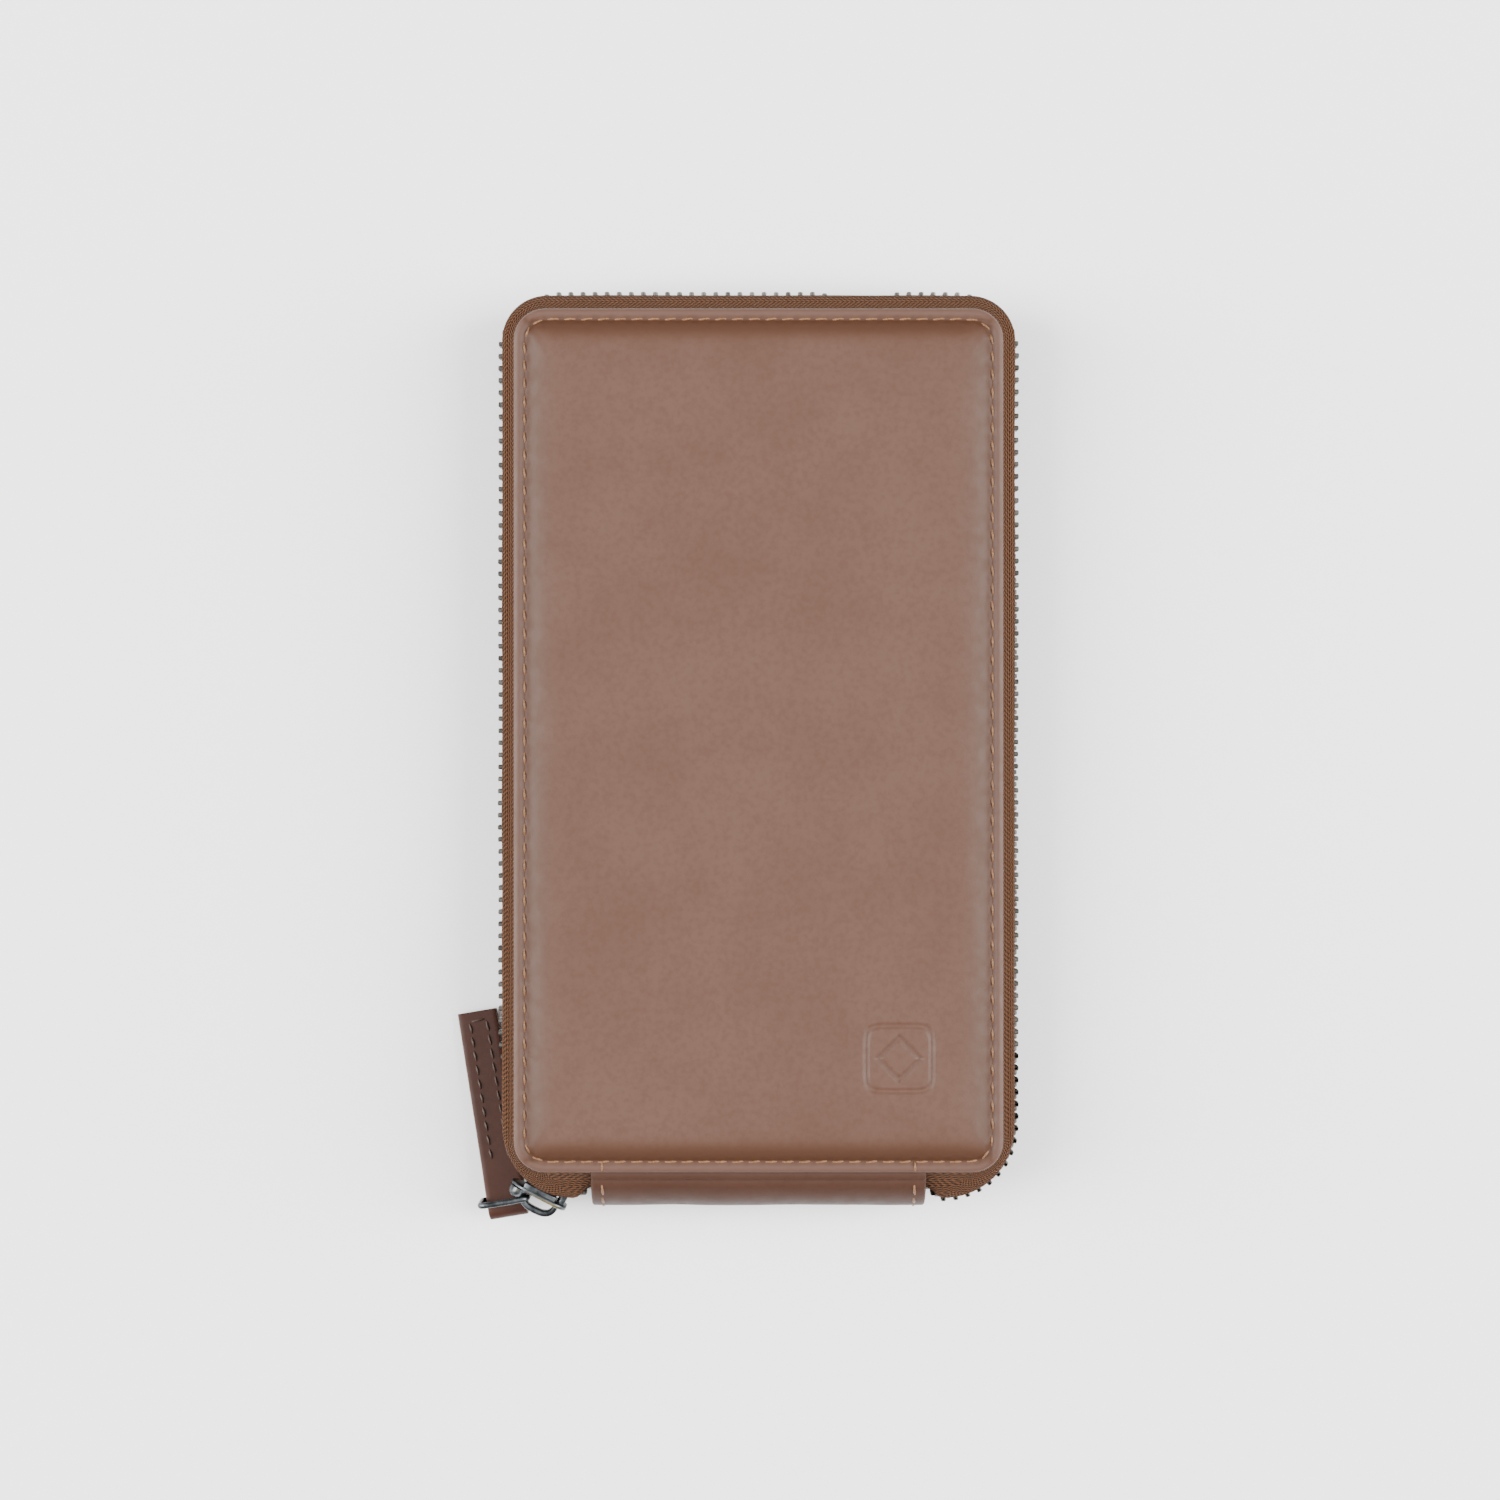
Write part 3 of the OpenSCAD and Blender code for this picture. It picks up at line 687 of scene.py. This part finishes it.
def tuck(track):
    """How far the whole chain is drawn in under its tape, in mm."""
    corner = 0.9 * ease((abs(track.x) - 42) / 5) * ease((track.y - 82) / 6)
    far_dip = 0.9 * bump_at(track.x, 21, 4, 5) * ease((track.y - 90) / 2)
    beside_slider = 0.9 * ease((-track.x - 36) / 5) * ease((-62 - track.y) / 8)
    return max(corner, far_dip, beside_slider)


def lean(track):
    """How far the lower row is drawn in behind the upper one, in mm. Both rows show low on the right."""
    right = ease((track.x - 30) / 15) * (1 - ease((track.y - 20) / 60))
    near_slider = 1 - ease((track.y + 78) / 14)
    return 1.05 * (1 - right) * (1 - near_slider)


def waver(s):
    """The small wander of a sewn tape."""
    return 0.16 * noise.noise(Vector((s / 17, 4.2, 0)))


# The tape's outer face on the back cover: (share of the way to the track, outward shift, height)
TAPE_LINE = [
    (0, -5, 3.65), (0, -3, 3.65), (0, -1, 3.66), (0, -0.35, 3.72), (0.06, 0, 4.1), (0.2, 0, 4.85),
    (0.42, 0, 5.45), (0.66, 0, 5.95), (0.85, 0, 6.5), (0.95, 0, 7.05), (0.995, 0, 7.7), (1, 0, 8.4),
    (1, 0, 9.4), (1, 0, 10.4), (1, 0, 11.2),
]


def tape_section(station, s, is_front):
    """Ring of the tape at a station, with its places across the weave."""
    edge, track, out = station
    line = []
    for share, shift, z in TAPE_LINE:
        drawn = tuck(track) * ease((z - 7.6) / 1.6)
        if not is_front:
            drawn += lean(track) * ease((z - 7.3) / 2.2)
        outward = shift + waver(s) * share - drawn
        line.append((track.lerp(edge, 1 - share) + out * outward, z))
    outer, inner, across = [], [], []
    travelled = 0.0
    for i, (p, z) in enumerate(line):
        a, b = line[max(i - 1, 0)], line[min(i + 1, len(line) - 1)]
        slope = Vector(((b[0] - a[0]).dot(out), b[1] - a[1])).normalized()
        if i:
            step_out = (p - line[i - 1][0]).length
            travelled += math.hypot(step_out, z - line[i - 1][1])
        across.append(travelled)
        outer.append(Vector((p.x, p.y, z)))
        down_in = Vector((-slope.y, slope.x)) * TAPE_T * 0.92
        q = p + out * down_in.x
        inner.append(Vector((q.x, q.y, z + down_in.y)))
    ring = outer + inner[::-1]
    if is_front:
        ring = [Vector((p.x, p.y, TOP_Z - p.z)) for p in ring]
    return ring, across + across[::-1]


FLANGE_END = 3               # the part sewn to the cover ends at this place of a section's line
WALL_START = 2               # and the part that stands out beyond the cover starts at this one


def tape(first, last, is_front, part="whole"):
    """A length of tape between two distances along the track, with its weave coordinates."""
    count = 2 * len(TAPE_LINE)
    keep = {
        "whole": list(range(count)),
        "flange": list(range(FLANGE_END + 1)) + list(range(count - FLANGE_END - 1, count)),
        "wall": list(range(WALL_START, count - WALL_START)),
    }[part]
    rings, uvs = [], []
    for station, s in zip(STATIONS, DISTANCES):
        if not first - 1e-6 <= s <= last + 1e-6:
            continue
        ring, across = tape_section(station, s, is_front)
        rings.append([ring[i] for i in keep])
        uvs += [(s * MM, across[i] * MM) for i in keep]
    shape = skin(rings)
    if not is_front:
        shape = shape[0], [f[::-1] for f in shape[1]]
    return shape, uvs


def tooth_shape():
    """One tooth as (outward, along, height) points with eased edges: two legs over the tape and a head."""
    half = 1.2
    outline = [
        (-half, 9.4), (-0.4, 9.4), (-0.4, 11.3), (0.4, 11.3), (0.4, 9.4), (half, 9.4), (half + 0.03, 10.6),
        (half, 12.3), (half - 0.2, 13.2), (half - 0.55, 13.8), (0, 13.9), (0.55 - half, 13.8),
        (0.2 - half, 13.2), (-half, 12.3), (-half - 0.03, 10.6),
    ]
    rings = []
    for along, shrink in ((-0.5, 0.86), (-0.38, 0.97), (-0.2, 1.0), (0.2, 1.0), (0.38, 0.97), (0.5, 0.86)):
        upright = (shrink + 1) / 2
        ring = [Vector((x * shrink, along * TOOTH_T, TOOTH_MID_Z + (z - TOOTH_MID_Z) * upright))
                for x, z in outline]
        rings.append(ring)
    return skin(rings)


TOOTH = tooth_shape()


def teeth_row(shift, is_front, keep):
    """Teeth at every pitch along the track where keep(point, distance) says so."""
    made = []
    s = shift
    while s < TRACK_L:
        _, track, out = at_distance(s)
        if keep(track, s):
            inward = TAPE_T / 2 + tuck(track) + (0 if is_front else lean(track))
            mid = track - out * (inward - waver(s))
            along = Vector((out.y, -out.x))
            points = []
            for u, v, z in TOOTH[0]:
                p = mid + out * u + along * v
                points.append(Vector((p.x, p.y, TOP_Z - z if is_front else z)))
            faces = [f[::-1] for f in TOOTH[1]] if is_front else TOOTH[1]
            made.append((points, faces))
        s += TOOTH_PITCH
    return merge(made)


def tooth_wear(shape):
    """Rubbed where the teeth clasp the tape, and dark where the two rows meet."""
    return [0.35 * ease((abs(p[2] - MID_Z) - 0.2) / 2) * (0.4 + 0.6 * random.random()) for p in shape[0]]


left_chain = next(s for s, st in zip(DISTANCES, STATIONS) if st[1].y >= FRONT_CHAIN_Y)
right_chain = next(s for s, st in reversed(list(zip(DISTANCES, STATIONS))) if st[1].y >= FRONT_CHAIN_Y)

back_tape_shape, back_uvs = tape(0, TRACK_L, False)
back_tape = piece("back_zip_tape_cloth", back_tape_shape, tape_cotton, "back_shell", "zip_tape",
                  ["back_zip_tape"], uvs=back_uvs)
front_tape_shape, front_uvs = tape(left_chain, right_chain, True)
front_tape = piece("front_zip_tape_cloth", front_tape_shape, tape_cotton, "front_shell", "zip_tape",
                   ["front_zip_tape"], uvs=front_uvs)

back_teeth = teeth_row(TOOTH_PITCH / 2, False, lambda track, s: 0.8 < s < TRACK_L - 0.8)
piece("back_zip_teeth_row", back_teeth, tooth_brass, "back_shell", "zip_teeth", ["back_zip_teeth"],
      smooth=False, wear=tooth_wear(back_teeth))
front_teeth = teeth_row(TOOTH_PITCH, True, lambda track, s: track.y > FRONT_CHAIN_Y + 1)
piece("front_zip_teeth_row", front_teeth, tooth_brass, "front_shell", "zip_teeth", ["front_zip_teeth"],
      smooth=False, wear=tooth_wear(front_teeth))

# The front tape goes on round both corners to the spine. The walls and teeth of its end pieces are attached
# to no body.
SLIDER_FRONT_TEETH_X = -45.0
SLIDER_REAR_TEETH_X = -37.5
for side, first, last in (("left", 0, left_chain), ("right", right_chain, TRACK_L)):
    flange, flange_uvs = tape(first, last, True, "flange")
    flange_piece = piece(f"front_zip_tape_flange_{side}", flange, tape_cotton, "front_shell", "zip_tape",
                         uvs=flange_uvs)
    wall, wall_uvs = tape(first, last, True, "wall")
    wall_piece = piece(f"front_zip_tape_end_{side}", wall, tape_cotton, slot="zip_tape", uvs=wall_uvs)
    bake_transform(wall_piece)

    def beyond(track, s, side=side):
        if track.y > FRONT_CHAIN_Y + 1:
            return False
        if side == "left":
            ahead = track.x < SLIDER_FRONT_TEETH_X
            return ahead or (track.x > SLIDER_REAR_TEETH_X and s > 0.8)
        return track.x > 0 and s < TRACK_L - 0.8

    row = teeth_row(TOOTH_PITCH, True, beyond)
    teeth_piece = piece(f"front_zip_teeth_end_{side}", row, tooth_brass, slot="zip_teeth", smooth=False,
                        wear=tooth_wear(row))
    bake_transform(teeth_piece)


# ---- spine ----

FOLD = joint_mm("spine_fold")
SPINE_OUT_Y = corner_mm("spine_leather", 0).y + 0.7
sag = FOLD.y - SPINE_OUT_Y
half_h = MID_Z - FOLD.z
SPINE_ARC_R = (half_h ** 2 + sag ** 2) / (2 * sag)
SPINE_ARC_Y = SPINE_OUT_Y + SPINE_ARC_R
SPINE_TURN = math.degrees(math.atan2(half_h, SPINE_ARC_Y - FOLD.y))
SPINE_HALF_W = TAPE_END_X - 1


def spine_stations(r, trim):
    """Stations of a strip bent round the spine, from its upper fold to its lower one, thinned at both."""
    found = []
    angles = spread(180 - SPINE_TURN + trim, 180 + SPINE_TURN - trim, 34)
    for i, angle in enumerate(angles):
        a = math.radians(angle)
        up = Vector((0, math.cos(a), math.sin(a)))
        share = min(1.0, 0.35 + 0.28 * min(i, len(angles) - 1 - i))
        found.append((Vector((0, SPINE_ARC_Y, MID_Z)) + up * r, Vector((1, 0, 0)), up, share))
    return found


def soften(shape, size, wave):
    """Lets a skin wander a little, as thin leather does."""
    points = []
    for p in shape[0]:
        p = Vector(p)
        points.append(p + Vector((0, 1, 0.3)) * wave * noise.noise(p / size))
    return points, shape[1]


spine_skin = soften(ribbon(spine_stations(SPINE_ARC_R, 0.6), 2 * SPINE_HALF_W, 1.4, 60, 0.5), 11, 0.18)
spine_lining = ribbon(spine_stations(SPINE_ARC_R - 1.2, 9), 2 * SPINE_HALF_W - 2, 0.8, 40)
spine_piece = piece("spine_leather_strip", spine_skin, spine_hide, "spine", "spine_leather",
                    ["spine_leather"])
lining_uvs = [(p[0] * MM, p[2] * MM) for p in spine_lining[0]]
spine_lining_piece = piece("spine_lining_twill", spine_lining, lining_twill, "spine", "lining",
                           ["spine_lining"], uvs=lining_uvs)


def away_from_spine(p):
    return Vector((0, p.y - SPINE_ARC_Y, p.z - MID_Z)).normalized()


spine_rows = []
for side in (-1, 1):
    line = [m + Vector((side * (SPINE_HALF_W - 2.4), 0, 0)) + up * 0.7
            for m, _, up, _ in spine_stations(SPINE_ARC_R, 7)]
    spine_rows.append(stitch_row(line, away_from_spine, 3.6))
spine_thread = piece("spine_stitches", merge(spine_rows), seam_thread, "spine", "thread", ["spine_thread"])
for obj in (spine_piece, spine_lining_piece, spine_thread):
    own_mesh(obj)


def fold_leather():
    """The spine's leather where it runs in under the front cover's edge."""
    line = [(-91.75, 21.2, 0.5), (-91.45, 21.62, 0.95), (-90.9, 21.93, 1.0), (-90.3, 22.02, 0.9),
            (-89.6, 22.08, 0.62), (-87.5, 22.1, 0.6), (-85.6, 22.1, 0.6)]
    stations = []
    for i, (y, z, share) in enumerate(line):
        a, b = line[max(i - 1, 0)], line[min(i + 1, len(line) - 1)]
        along = Vector((0, b[0] - a[0], b[1] - a[1])).normalized()
        across = Vector((1, 0, 0))
        stations.append((Vector((0, y, z)), across, across.cross(along), share))
    return ribbon(stations, 2 * SPINE_HALF_W, 1.0, 40, 0.3)


front_fold = fold_leather()
for name, shape, body, z in (("front", front_fold, "front_shell", 0.022),
                             ("back", mirrored(front_fold), "back_shell", 0.004)):
    strip = piece(f"spine_fold_leather_{name}", shape, spine_hide, slot="spine_leather")
    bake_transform(strip)


# ---- inside ----

def edge_drop(x, y, half_x, low_y, high_y, r):
    """How far a rounded edge falls at a point, for a sheet with edges of radius r."""
    inset = min(half_x - abs(x), y - low_y, high_y - y)
    if inset >= r:
        return 0.0
    return r - math.sqrt(max(r * r - (r - inset) ** 2, 0.0))


def lining_shape():
    """The twill panel that faces the inside, with its edge turned under."""
    low, high = corner_mm("front_lining", 0), corner_mm("front_lining", 1)
    r_at = COVER_R - 0.9
    rings = []
    for inset, z in ((0.0, high.z - 0.3), (0.3, high.z), (0.6, high.z)):
        rings.append(rounded_ring(high.x - inset, high.y - inset, r_at - inset, z))
    rings = rings[::-1]
    for inset, z in ((0.0, low.z + 0.35), (0.12, low.z + 0.1), (0.4, low.z), (1.2, low.z + 0.05),
                     (3.5, low.z + 0.12), (6.0, low.z + 0.1)):
        rings.append(rounded_ring(high.x - inset, high.y - inset, r_at - min(inset, 3), z))
    points, faces = skin(rings)
    return points, [f[::-1] for f in faces]


def pocket_shape(low, high):
    """A pocket panel: a sewn border, a free mouth with a turned hem, and a slightly sprung middle."""
    half_x = high.x
    border = [0, 0.12, 0.4, 1]
    xs = [inset - half_x for inset in border] + spread(3 - half_x, half_x - 3, 24)
    xs += [half_x - inset for inset in reversed(border)]
    ys = [low.y + inset for inset in border] + spread(low.y + 3, high.y - 7, 18)
    ys += [high.y - inset for inset in (6, 5.6, 3, 0.5, 0.15, 0)]

    def outer(x, y):
        hem = 0.12 * (1 - ease(abs(y - (high.y - 3)) - 2.6))
        return low.z + 0.1 + edge_drop(x, y, half_x, low.y, high.y, 0.3) - hem

    def inner(x, y):
        sewn = half_x - abs(x) < 3 or y - low.y < 3
        return high.z - (0.0 if sewn else 0.28)

    return slab(xs, ys, inner, outer)


def pocket_stitches(low, high):
    """Stitches down both sides of a pocket and along its closed end."""
    x, y, z = high.x - 1.6, low.y + 1.6, low.z + 0.1
    path = [Vector((-x, high.y - 1, z)), Vector((-x, y, z)), Vector((x, y, z)), Vector((x, high.y - 1, z))]
    down = Vector((0, 0, -1))
    rows = [stitch_row([a, b], lambda p: down, 3.4, width=0.5, rise=0.42) for a, b in zip(path, path[1:])]
    return merge(rows)


lining = lining_shape()
lining_back = mirrored(lining)
for name, shape, body, node in (("front_lining_twill", lining, "front_shell", "front_lining"),
                                ("back_lining_twill", lining_back, "back_shell", "back_lining")):
    flat = [(p[0] * MM, p[1] * MM) for p in shape[0]]
    panel = piece(name, shape, lining_twill, body, "lining", [node], uvs=flat)

for node in ("card_slot_1", "card_slot_2", "card_slot_3", "back_slip_pocket"):
    low, high = corner_mm(node, 0), corner_mm(node, 1)
    body = "back_shell" if node == "back_slip_pocket" else "front_shell"
    if body == "back_shell":
        low.z, high.z = TOP_Z - high.z, TOP_Z - low.z
    panel, row = pocket_shape(low, high), pocket_stitches(low, high)
    if body == "back_shell":
        panel, row = mirrored(panel), mirrored(row)
    piece(node + "_leather", panel, pocket_hide, body, "pocket_leather", [node])
    piece(node + "_stitches", row, seam_thread, body, "thread")

for node in ("front_board", "back_board"):
    obj = frame["nodes"][node]
    obj.data.materials.clear()
    obj.data.materials.append(stiff_board)


# ---- slider ----

SLIDER_MID = joint_mm("slider_travel")
SLIDER_TURN = math.radians(243)
SLIDER_R = 13.94
SLOT_HALF = 2.187
PLATE_T = 0.9
PLATE_OUT = SLOT_HALF + PLATE_T
POST_W = 2.25                # how far the divider stands off the slider's middle line
slider_place = (Matrix.Translation(SLIDER_MID) @ Matrix.Rotation(SLIDER_TURN, 4, "Z")
                @ Matrix.Translation((SLIDER_R, 0, 0)))


def placed(shape, matrix):
    return [matrix @ Vector(p) for p in shape[0]], shape[1]


def plate_outline(shrink):
    """A slider plate seen from its face: wide at the mouth, narrower at the tail."""
    outline = []
    corners = [(6.4, 4.9, 2.8), (-6.4, 4.3, 3.4), (-6.4, -4.3, 3.4), (6.4, -4.9, 2.8)]
    for k, (v, w, r) in enumerate(corners):
        mid_v, mid_w = v - math.copysign(r, v), w - math.copysign(r, w)
        for i in range(9):
            a = math.radians(90 * k + 90 * i / 8)
            outline.append((mid_v + (r - shrink) * math.cos(a), mid_w + (r - shrink) * math.sin(a)))
    return outline


def plate(side):
    """A pressed plate with eased edges and a slightly domed face."""
    rings = []
    for u, shrink in ((0.0, 0.25), (0.08, 0.06), (0.25, 0.0), (0.6, 0.0), (0.8, 0.1), (0.9, 0.32)):
        rings.append([Vector((side * (SLOT_HALF + u), v, w)) for v, w in plate_outline(shrink)])
    points, faces = skin(rings)
    return points, faces if side > 0 else [f[::-1] for f in faces]


def lip(side, up):
    """The flange that keeps the tape between the plates."""
    stations = []
    for v in spread(-3.6, 3.6, 8):
        share = 0.6 if abs(v) > 3.5 else 1.0
        middle = Vector((side * (SLOT_HALF + 0.85) / 2 + side * 0.1, v, up * 4.55))
        stations.append((middle, Vector((1, 0, 0)), Vector((0, 0, 1)), share))
    return ribbon(stations, SLOT_HALF - 0.85, 0.84, 4, 0.25)


def post():
    """The divider between the plates at the mouth."""
    stations = [(Vector((0, v, POST_W)), Vector((1, 0, 0)), Vector((0, 0, 1)), share)
                for v, share in ((3.95, 0.5), (4.2, 0.85), (4.8, 1.0), (5.5, 0.85), (5.7, 0.5))]
    return ribbon(stations, 2 * SLOT_HALF, 1.9, 4, 0.1)


def lug():
    """The round lug at the tail, which the bridge springs from."""
    rings = []
    dome = ((1.0, -0.05), (1.0, 0.5), (0.96, 1.0), (0.86, 1.5), (0.68, 1.85), (0.42, 2.1), (0.15, 2.2))
    for share, out in dome:
        ring = []
        for i in range(28):
            a = 2 * math.pi * i / 28
            ring.append(Vector((PLATE_OUT + out, -4.55 + 1.75 * share * math.cos(a),
                                1.2 + 3.2 * share * math.sin(a))))
        rings.append(ring)
    return skin(rings)


def bridge():
    """The arch over the eye, flat on its sides and a little thicker at its top."""
    stations = []
    for i in range(33):
        a = math.pi * (1 - i / 32)
        c, s = math.cos(a), math.sin(a)
        v = 0.6 + math.copysign(abs(c) ** 0.72, c) * 3.72
        u = PLATE_OUT - 0.15 + 3.1 * s ** 0.72
        stations.append(Vector((u, v, 0)))
    made = []
    for i, middle in enumerate(stations):
        a, b = stations[max(i - 1, 0)], stations[min(i + 1, 32)]
        along = (b - a).normalized()
        out = Vector((along.y, -along.x, 0))
        made.append((middle, Vector((0, 0, 1)), out, 1.0 + 0.12 * math.sin(math.pi * i / 32)))
    return ribbon(made, 2.6, 1.2, 5, 0.45)


def edge_wear(shape, matrix):
    """Bright where a casting's outer corners are rubbed."""
    back_to_local = matrix.inverted()
    found = []
    for p in shape[0]:
        local = back_to_local @ Vector(p)
        rubbed = ease((abs(local.z) - 4.2) / 0.8) * ease((local.x - 2.4) / 0.4)
        found.append(0.85 * rubbed)
    return found


slider_shapes = [plate(1), plate(-1), lug(), post()]
slider_shapes += [lip(side, up) for side in (-1, 1) for up in (-1, 1)]
slider_shape = placed(merge(slider_shapes), slider_place)
piece("slider_casting", slider_shape, slider_brass, "slider", "slider_brass", ["slider_body"],
      wear=edge_wear(slider_shape, slider_place))
bridge_shape = placed(bridge(), slider_place)
piece("slider_arch", bridge_shape, slider_brass, "slider", "slider_brass", ["slider_bridge"])


# ---- ring and pull tab ----

RING_BAR = joint_mm("ring_turn")
RING_TURN = math.radians(189.5)
TAB_PIVOT = joint_mm("tab_swing")
RING_LOW = TAB_PIVOT.z
RING_H = 9.0
RING_L = 10.2
RING_WIRE = 0.5
RING_BREADTH = 0.66           # half the flat wire's breadth


def ring_shape():
    """A rounded rectangle of wire, with a little bow in its long bars."""
    mid = Vector((RING_L / 2, RING_LOW + RING_H / 2))
    bend = 1.2
    line = []
    for k, (cx, cz) in enumerate(((1, 1), (-1, 1), (-1, -1), (1, -1))):
        centre = Vector((mid.x + cx * (RING_L / 2 - bend), mid.y + cz * (RING_H / 2 - bend)))
        for i in range(7):
            a = math.radians(90 * k + 90 * i / 6)
            line.append(centre + Vector((math.cos(a), math.sin(a))) * bend)
        if k in (0, 2):
            following = Vector((mid.x - cx * (RING_L / 2 - bend), line[-1].y))
            line += [line[-1].lerp(following, t) for t in (0.2, 0.4, 0.6, 0.8)]
    rings = []
    count = len(line)
    for i, p in enumerate(line):
        along = (line[(i + 1) % count] - line[i - 1]).normalized()
        out = Vector((along.y, -along.x))
        bow = 0.1 * math.sin(math.pi * min(max(p.x / RING_L, 0), 1))
        ring = []
        for j in range(14):
            a = 2 * math.pi * j / 14
            c, s = RING_WIRE * math.cos(a), RING_BREADTH * math.sin(a)
            ring.append(Vector((p.x + out.x * c, s + bow, p.y + out.y * c)))
        rings.append(ring)
    return skin(rings, closed_along=True)


ring_place = Matrix.Translation((RING_BAR.x, RING_BAR.y, 0)) @ Matrix.Rotation(RING_TURN, 4, "Z")
piece("pull_ring_wire", placed(ring_shape(), ring_place), slider_brass, "ring", "slider_brass", ["pull_ring"])

TAB_W = 8.4
TAB_L = 40.0
LAYER_T = 1.3
FOLD_R = 0.8 + LAYER_T / 2
LOOP_L = 8.0
FOLD_SLACK = 2.2              # the fold stands off the wire
TAB_DROOP = math.asin((RING_LOW - LAYER_T - 0.65) / TAB_L)
tab_place = (Matrix.Translation(TAB_PIVOT) @ Matrix.Rotation(math.radians(9.5), 4, "Z")
             @ Matrix.Rotation(-TAB_DROOP, 4, "X"))


def tab_line():
    """The folded strip's middle line, from the upper free end round the wire to the lower one."""
    upper = [(y, LAYER_T / 2) for y in spread(TAB_L, LOOP_L, 26)]
    upper += [(y, LAYER_T / 2 + (FOLD_R - LAYER_T / 2) * ease(1 - y / LOOP_L))
              for y in spread(LOOP_L, 0, 12)[1:]]
    fold = [(-FOLD_SLACK - FOLD_R * math.sin(math.radians(a)), FOLD_R * math.cos(math.radians(a)))
            for a in spread(0, 180, 14)]
    return upper + fold + [(y, -z) for y, z in reversed(upper)]


def tab_shape():
    line = [Vector((0, y, z)) for y, z in tab_line()]
    stations = []
    for i, p in enumerate(line):
        a, b = line[max(i - 1, 0)], line[min(i + 1, len(line) - 1)]
        along = (b - a).normalized()
        out = along.cross(Vector((1, 0, 0)))
        share = 0.72 if i in (0, len(line) - 1) else 0.97
        stations.append((p, Vector((1, 0, 0)), out, share))
    return ribbon(stations, TAB_W, LAYER_T, 10, 0.32)


def tab_wear(shape):
    """Raw, paler edges of the folded strip."""
    back_to_local = tab_place.inverted()
    return [0.8 * ease((abs((back_to_local @ Vector(p)).x) - 3.95) / 0.2) for p in shape[0]]


tab_skin = placed(tab_shape(), tab_place)
piece("pull_tab_leather", tab_skin, tab_hide_painted_shade, "tab", "tab_leather", ["pull_tab"], wear=tab_wear(tab_skin))


def tab_stitches():
    rows = []
    x, far = TAB_W / 2 - 2.4, TAB_L - 2.0
    for face in (1, -1):
        z = face * (LAYER_T + 0.02)
        path = [Vector((-x, LOOP_L, z)), Vector((-x, far, z)), Vector((x, far, z)), Vector((x, LOOP_L, z))]
        up = Vector((0, 0, face))
        rows += [stitch_row([a, b], lambda p, up=up: up, 3.0, width=0.5, rise=0.4, dive=0.28)
                 for a, b in zip(path, path[1:])]
    return merge(rows)


piece("pull_tab_stitches", placed(tab_stitches(), tab_place), tab_thread, "tab", "tab_thread",
      ["pull_tab_thread"])


# ---- table, light and camera ----

FLOOR_HALF = 3000
FLOOR_Z = -0.06
floor_corners = [(FLOOR_HALF * x, FLOOR_HALF * y, FLOOR_Z) for x, y in ((-1, -1), (1, -1), (1, 1), (-1, 1))]
floor = piece("table_top", (floor_corners, [(0, 1, 2, 3)]), table_paper)


def soft_box(name, place, size, power):
    """A soft light that faces the object."""
    data = bpy.data.lights.new(name, "AREA")
    data.shape = "RECTANGLE"
    data.size, data.size_y = size[0] * MM, size[1] * MM
    data.energy = power
    lamp = bpy.data.objects.new(name, data)
    bpy.context.scene.collection.objects.link(lamp)
    lamp.location = Vector(place) * MM
    lamp.rotation_euler = (-Vector(place)).to_track_quat("-Z", "Y").to_euler()


for side, name in ((-1, "left_light"), (1, "right_light")):
    soft_box(name, (side * 1600, 50, 1175), (1050, 2250), 106)

world = bpy.data.worlds.new("studio")
world.use_nodes = True
world.node_tree.nodes["Background"].inputs[0].default_value = linear("#FFFFFF")
# The room is brighter over the object and to its sides than beyond its ends.
direction = add(world, "ShaderNodeTexCoord").outputs["Generated"]
direction_y = add(world, "ShaderNodeSeparateXYZ", {0: direction}).outputs[1]
towards_end = add(world, "ShaderNodeMath", {0: direction_y}, operation="ABSOLUTE").outputs[0]
level = add(world, "ShaderNodeMapRange", {"Value": towards_end},
            From_Min=0.15, From_Max=0.75, To_Min=1.8, To_Max=0.4)
world.node_tree.links.new(level.outputs[0], world.node_tree.nodes["Background"].inputs[1])
bpy.context.scene.world = world

VIEW_HEIGHT = 724
VIEW_ACROSS = 312
camera_data = bpy.data.cameras.new("camera")
camera_data.sensor_width = 36
camera_data.lens = 36 * (VIEW_HEIGHT - 24) / VIEW_ACROSS
camera_data.clip_start = 0.01
camera = bpy.data.objects.new("camera", camera_data)
bpy.context.scene.collection.objects.link(camera)
camera.location = (-1.77 * MM, -1.99 * MM, VIEW_HEIGHT * MM)
bpy.context.scene.camera = camera
